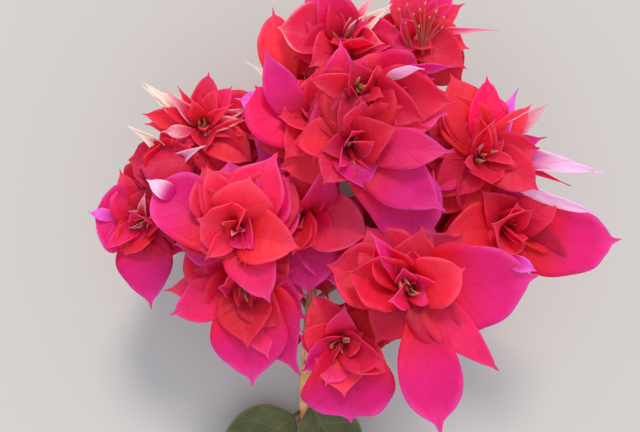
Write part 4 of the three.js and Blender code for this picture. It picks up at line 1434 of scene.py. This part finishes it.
# %% The sprigs
SPRIG_BRACTS = 6                          # broad ones
SPRIG_SCATTER = 18                        # degrees off their even places
SPRIG_LENGTHS = (15, 24)                  # mm
SPRIG_BREADTHS = (0.65, 0.85)             # as a share of the length
SPRIG_SLOPES = (-35, 40)                  # degrees
SPRIG_WHORLS = (2, 2, 2)                  # bracts in its inner whorls
SPRIG_ACROSS = 9                          # points across its bracts
SPRIGS_IN_PIECE = 14
THIN_RADII = (0.9, 0.6)
THIN_BEND = 0.6                           # where a thin stalk bends, as a share of its length
TWIG_STEPS = 12                           # points along a thin stalk


def sprig_ribs(at, facing, rng):
    """The ribs of one sprig, whose heart is at the given point."""
    mouth = at + facing * HEART_DEPTH
    rows = []
    clock = rng.uniform(0, 360)
    for _ in range(SPRIG_BRACTS):
        clock += 360 / SPRIG_BRACTS + rng.uniform(-SPRIG_SCATTER, SPRIG_SCATTER)
        length = rng.uniform(*SPRIG_LENGTHS)
        slope = math.radians(rng.uniform(*SPRIG_SLOPES))
        row = (clock, length * math.cos(slope), length * rng.uniform(*SPRIG_BREADTHS),
               length * math.sin(slope) - HEART_DEPTH, rng.choice(SHADED_FINISHES))
        rows += fitted(mouth, facing, row)
    ribs = outer_ribs(mouth, facing, rows, rng)
    return ribs + inner_ribs(mouth, facing, SPRIG_WHORLS, 1.0, rng)


for first in range(0, len(sprig_places), SPRIGS_IN_PIECE):
    group = sprig_places[first:first + SPRIGS_IN_PIECE]
    name = "sprigs_" + str(first // SPRIGS_IN_PIECE + 1)
    ribs = [rib for at, facing in group for rib in sprig_ribs(at, facing, source)]
    piece = keep(bract_mesh(name, ribs, SPRIG_ACROSS), name, [])
    print(name, "bracts:", len(ribs), "triangles:", triangles_of(piece))

twigs = []
for at, facing in sprig_places[on_stalks:]:
    under = at - facing * STALK_SHARE
    foot = old_points[np.argmin(np.linalg.norm(old_points - under, axis=1))]
    twigs.append(bezier((foot, foot + (under - foot) * THIN_BEND, under, at),
                        TWIG_STEPS)[0] + HEAD)
twig_radii = [np.linspace(*THIN_RADII, len(twig)) for twig in twigs]
thin_stalks = limb_mesh(twigs, twig_radii, {
    "Points around": 8, "Girth": 0.8 * MM, "Relief": 0.12 * MM, "Ridge width": 0.6 * MM,
    "Material": STALK}, "thin_stalks")
keep(thin_stalks, "thin_stalks", [])
print("thin stalks:", len(twigs))

# %% [markdown]
# Two leaves stand on the stem below the head. A leaf is the same kind of blade as a bract on a
# short petiole, only thicker, and its side veins are pressed deep enough to be real relief. So
# the first tree makes them too, with more points across. They are dull olive above, with the
# pale rim that the photograph shows where light catches the edge.

# %% The leaves
LEAVES = {
    "left": {"along": 0.16, "clock": 216, "length": 50, "breadth": 31, "rise": 2},
    "right": {"along": 0.2, "clock": 303, "length": 45, "breadth": 28, "rise": 4},
}
PETIOLE = 0.13                            # the share of a leaf that is petiole
PETIOLE_RADIUS = 0.8
LEAF_ARCH = 1.8
LEAF_POINT = 0.85                         # how fast it narrows to its tip
LEAF_TIP = 0.97                           # where its very tip starts, as a share of its length
LEAF_THICKNESS = 0.5 * MM


def leaf_material():
    """Leathery leaf: olive with paler veins, a painted highlight on its rim, and a soft waxy sheen.
    """
    material, tree = new_material("leathery olive leaf")
    along, across = [add(tree, "ShaderNodeAttribute", output="Fac", attribute_name=key)
                     for key in ("along", "across")]
    place = add(tree, "ShaderNodeTexCoord", output="Object")
    off_rib = add(tree, "ShaderNodeMath", {0: across}, operation="ABSOLUTE")
    mottle = add(tree, "ShaderNodeTexNoise", {"Vector": place, "Scale": 1 / (6 * MM),
                                              "Detail": 4.0}, output="Fac")
    uneven = add(tree, "ShaderNodeMapRange", {"Value": mottle, "From Min": 0.3,
                                              "From Max": 0.75})
    blade = add(tree, "ShaderNodeMix", {"Factor": uneven, "A": colour("3E4416"),
                                        "B": colour("5E602C")}, data_type="RGBA")
    slant = add(tree, "ShaderNodeMath", {0: off_rib, 1: -VEIN_SLANT, 2: along},
                operation="MULTIPLY_ADD")
    count = add(tree, "ShaderNodeMath", {0: slant, 1: 1 / 0.1}, operation="MULTIPLY")
    swing = add(tree, "ShaderNodeMath", {0: count, 1: 1.0}, operation="PINGPONG")
    side_vein = add(tree, "ShaderNodeMapRange", {"Value": swing, "From Min": 0.16,
                                                 "From Max": 0.04})
    rib = add(tree, "ShaderNodeMapRange", {"Value": off_rib, "From Min": 0.07,
                                           "From Max": 0.02})
    veins = add(tree, "ShaderNodeMath", {0: side_vein, 1: rib}, operation="MAXIMUM")
    paler = add(tree, "ShaderNodeMath", {0: veins, 1: 0.2}, operation="MULTIPLY")
    veined = add(tree, "ShaderNodeMix", {"Factor": paler, "A": blade, "B": colour("8E9456")},
                 data_type="RGBA")
    # painted highlight: a paler rim where light catches the edge
    rim = add(tree, "ShaderNodeMapRange", {"Value": off_rib, "From Min": 0.93,
                                           "From Max": 0.99})
    shown = add(tree, "ShaderNodeMix", {"Factor": rim, "A": veined, "B": colour("747A44")},
                data_type="RGBA")
    net = add(tree, "ShaderNodeTexVoronoi", {"Vector": place, "Scale": 1 / (1.6 * MM)},
              feature="DISTANCE_TO_EDGE")
    bump = add(tree, "ShaderNodeBump", {"Height": net, "Strength": 0.4, "Distance": 0.2 * MM})
    surface = add(tree, "ShaderNodeBsdfPrincipled", {
        "Base Color": shown, "Roughness": 0.5, "Normal": bump, "Sheen Weight": 0.1})
    through = add(tree, "ShaderNodeBsdfTranslucent", {"Color": colour("8FA838")})
    both = add(tree, "ShaderNodeMixShader", {0: 0.15, 1: surface, 2: through})
    add(tree, "ShaderNodeOutputMaterial", {"Surface": both})
    return material


LEATHERY_LEAF = leaf_material()


def leaf_piece(name, along, clock, length, breadth, rise, rng):
    """One leaf with its petiole, from the middle of the stem."""
    foot = stem_at(along)
    ahead, left, out = ways_of(UP, clock)
    tip = foot + ahead * length + out * rise
    arch = out * LEAF_ARCH * 4 / 3
    corners = (foot, foot + (tip - foot) / 3 + arch, tip - (tip - foot) / 3 + arch, tip)
    rib, share = bezier(corners, 44)
    side, face = ribbon_axes(rib, np.repeat([left], len(rib), axis=0))
    blade = np.clip((share - PETIOLE) / (1 - PETIOLE), 0, 1)
    half = np.hypot(breadth / 2 * outline(blade, LEAF_POINT) * (blade > 0), PETIOLE_RADIUS)
    half *= 1 - np.clip((share - LEAF_TIP) / (1 - LEAF_TIP), 0, 1) * 0.95
    even = np.ones(len(share))
    attributes = {"side": side, "face": face, "half": half * MM, "along": blade,
                  "cup": even * 0.06, "fold": even * 0.16, "seed": even * rng.uniform(0, 50),
                  "tint": even * rng.uniform(-1, 1)}
    mesh = rows_mesh([(rib + HEAD) * MM], attributes)
    settings = {"Points across": 31, "Crinkle": 1.6 * MM, "Crinkle size": 12 * MM,
                "Vein depth": 0.5 * MM, "Vein spacing": 0.1, "Material": LEATHERY_LEAF}
    shell = thickened(run_tree(mesh, BLADES, settings, name), LEAF_THICKNESS, name)
    return keep(shell, "leaf_blade_" + name, ["leaf_" + name])


for number, (name, sizes) in enumerate(LEAVES.items()):
    leaf = leaf_piece(name, rng=random.Random(400 + number), **sizes)
    print("leaf", name, "faces:", len(leaf.data.polygons))

# %% [markdown]
# The scene around the spray is plain: a pale floor that the spray lies on, an even pale sky, and
# one soft light from beyond the tip of the spray, like a bright overcast sun. It comes from the
# top of the picture, so that bracts there glow from behind and their edges shine. A sun lamp
# lights the whole floor alike, so that no bright pool shows in a view from the side.

# %% Floor, light and view
FLOOR_HALF = 6.0                          # metres
SUN_STRENGTH = 2.2
SUN_ANGLE = math.radians(14)              # how wide the sun looks: the wider, the softer
floor_mesh = bpy.data.meshes.new("floor")
corners = [(x * FLOOR_HALF, y * FLOOR_HALF, 0) for x, y in ((-1, -1), (1, -1), (1, 1), (-1, 1))]
floor_mesh.from_pydata(corners, [], [(0, 1, 2, 3)])
plaster, tree = new_material("pale matt plaster")
surface = add(tree, "ShaderNodeBsdfPrincipled", {"Base Color": colour("B4B1AC"),
                                                 "Roughness": 0.9})
add(tree, "ShaderNodeOutputMaterial", {"Surface": surface})
floor_mesh.materials.append(plaster)
floor = put("floor", floor_mesh)

world = bpy.data.worlds.new("pale sky")
world.use_nodes = True
sky = world.node_tree.nodes["Background"].inputs
sky["Color"].default_value = colour("E8EEFA")
sky["Strength"].default_value = 1.2
bpy.context.scene.world = world

sun = put("sun", bpy.data.lights.new("sun", "SUN"))
sun.data.energy = SUN_STRENGTH
sun.data.angle = SUN_ANGLE
sun.data.color = colour("FFF4E8")[:3]
sun.rotation_euler = (math.radians(-42), math.radians(8), 0)
bpy.context.scene.view_settings.view_transform = "Standard"
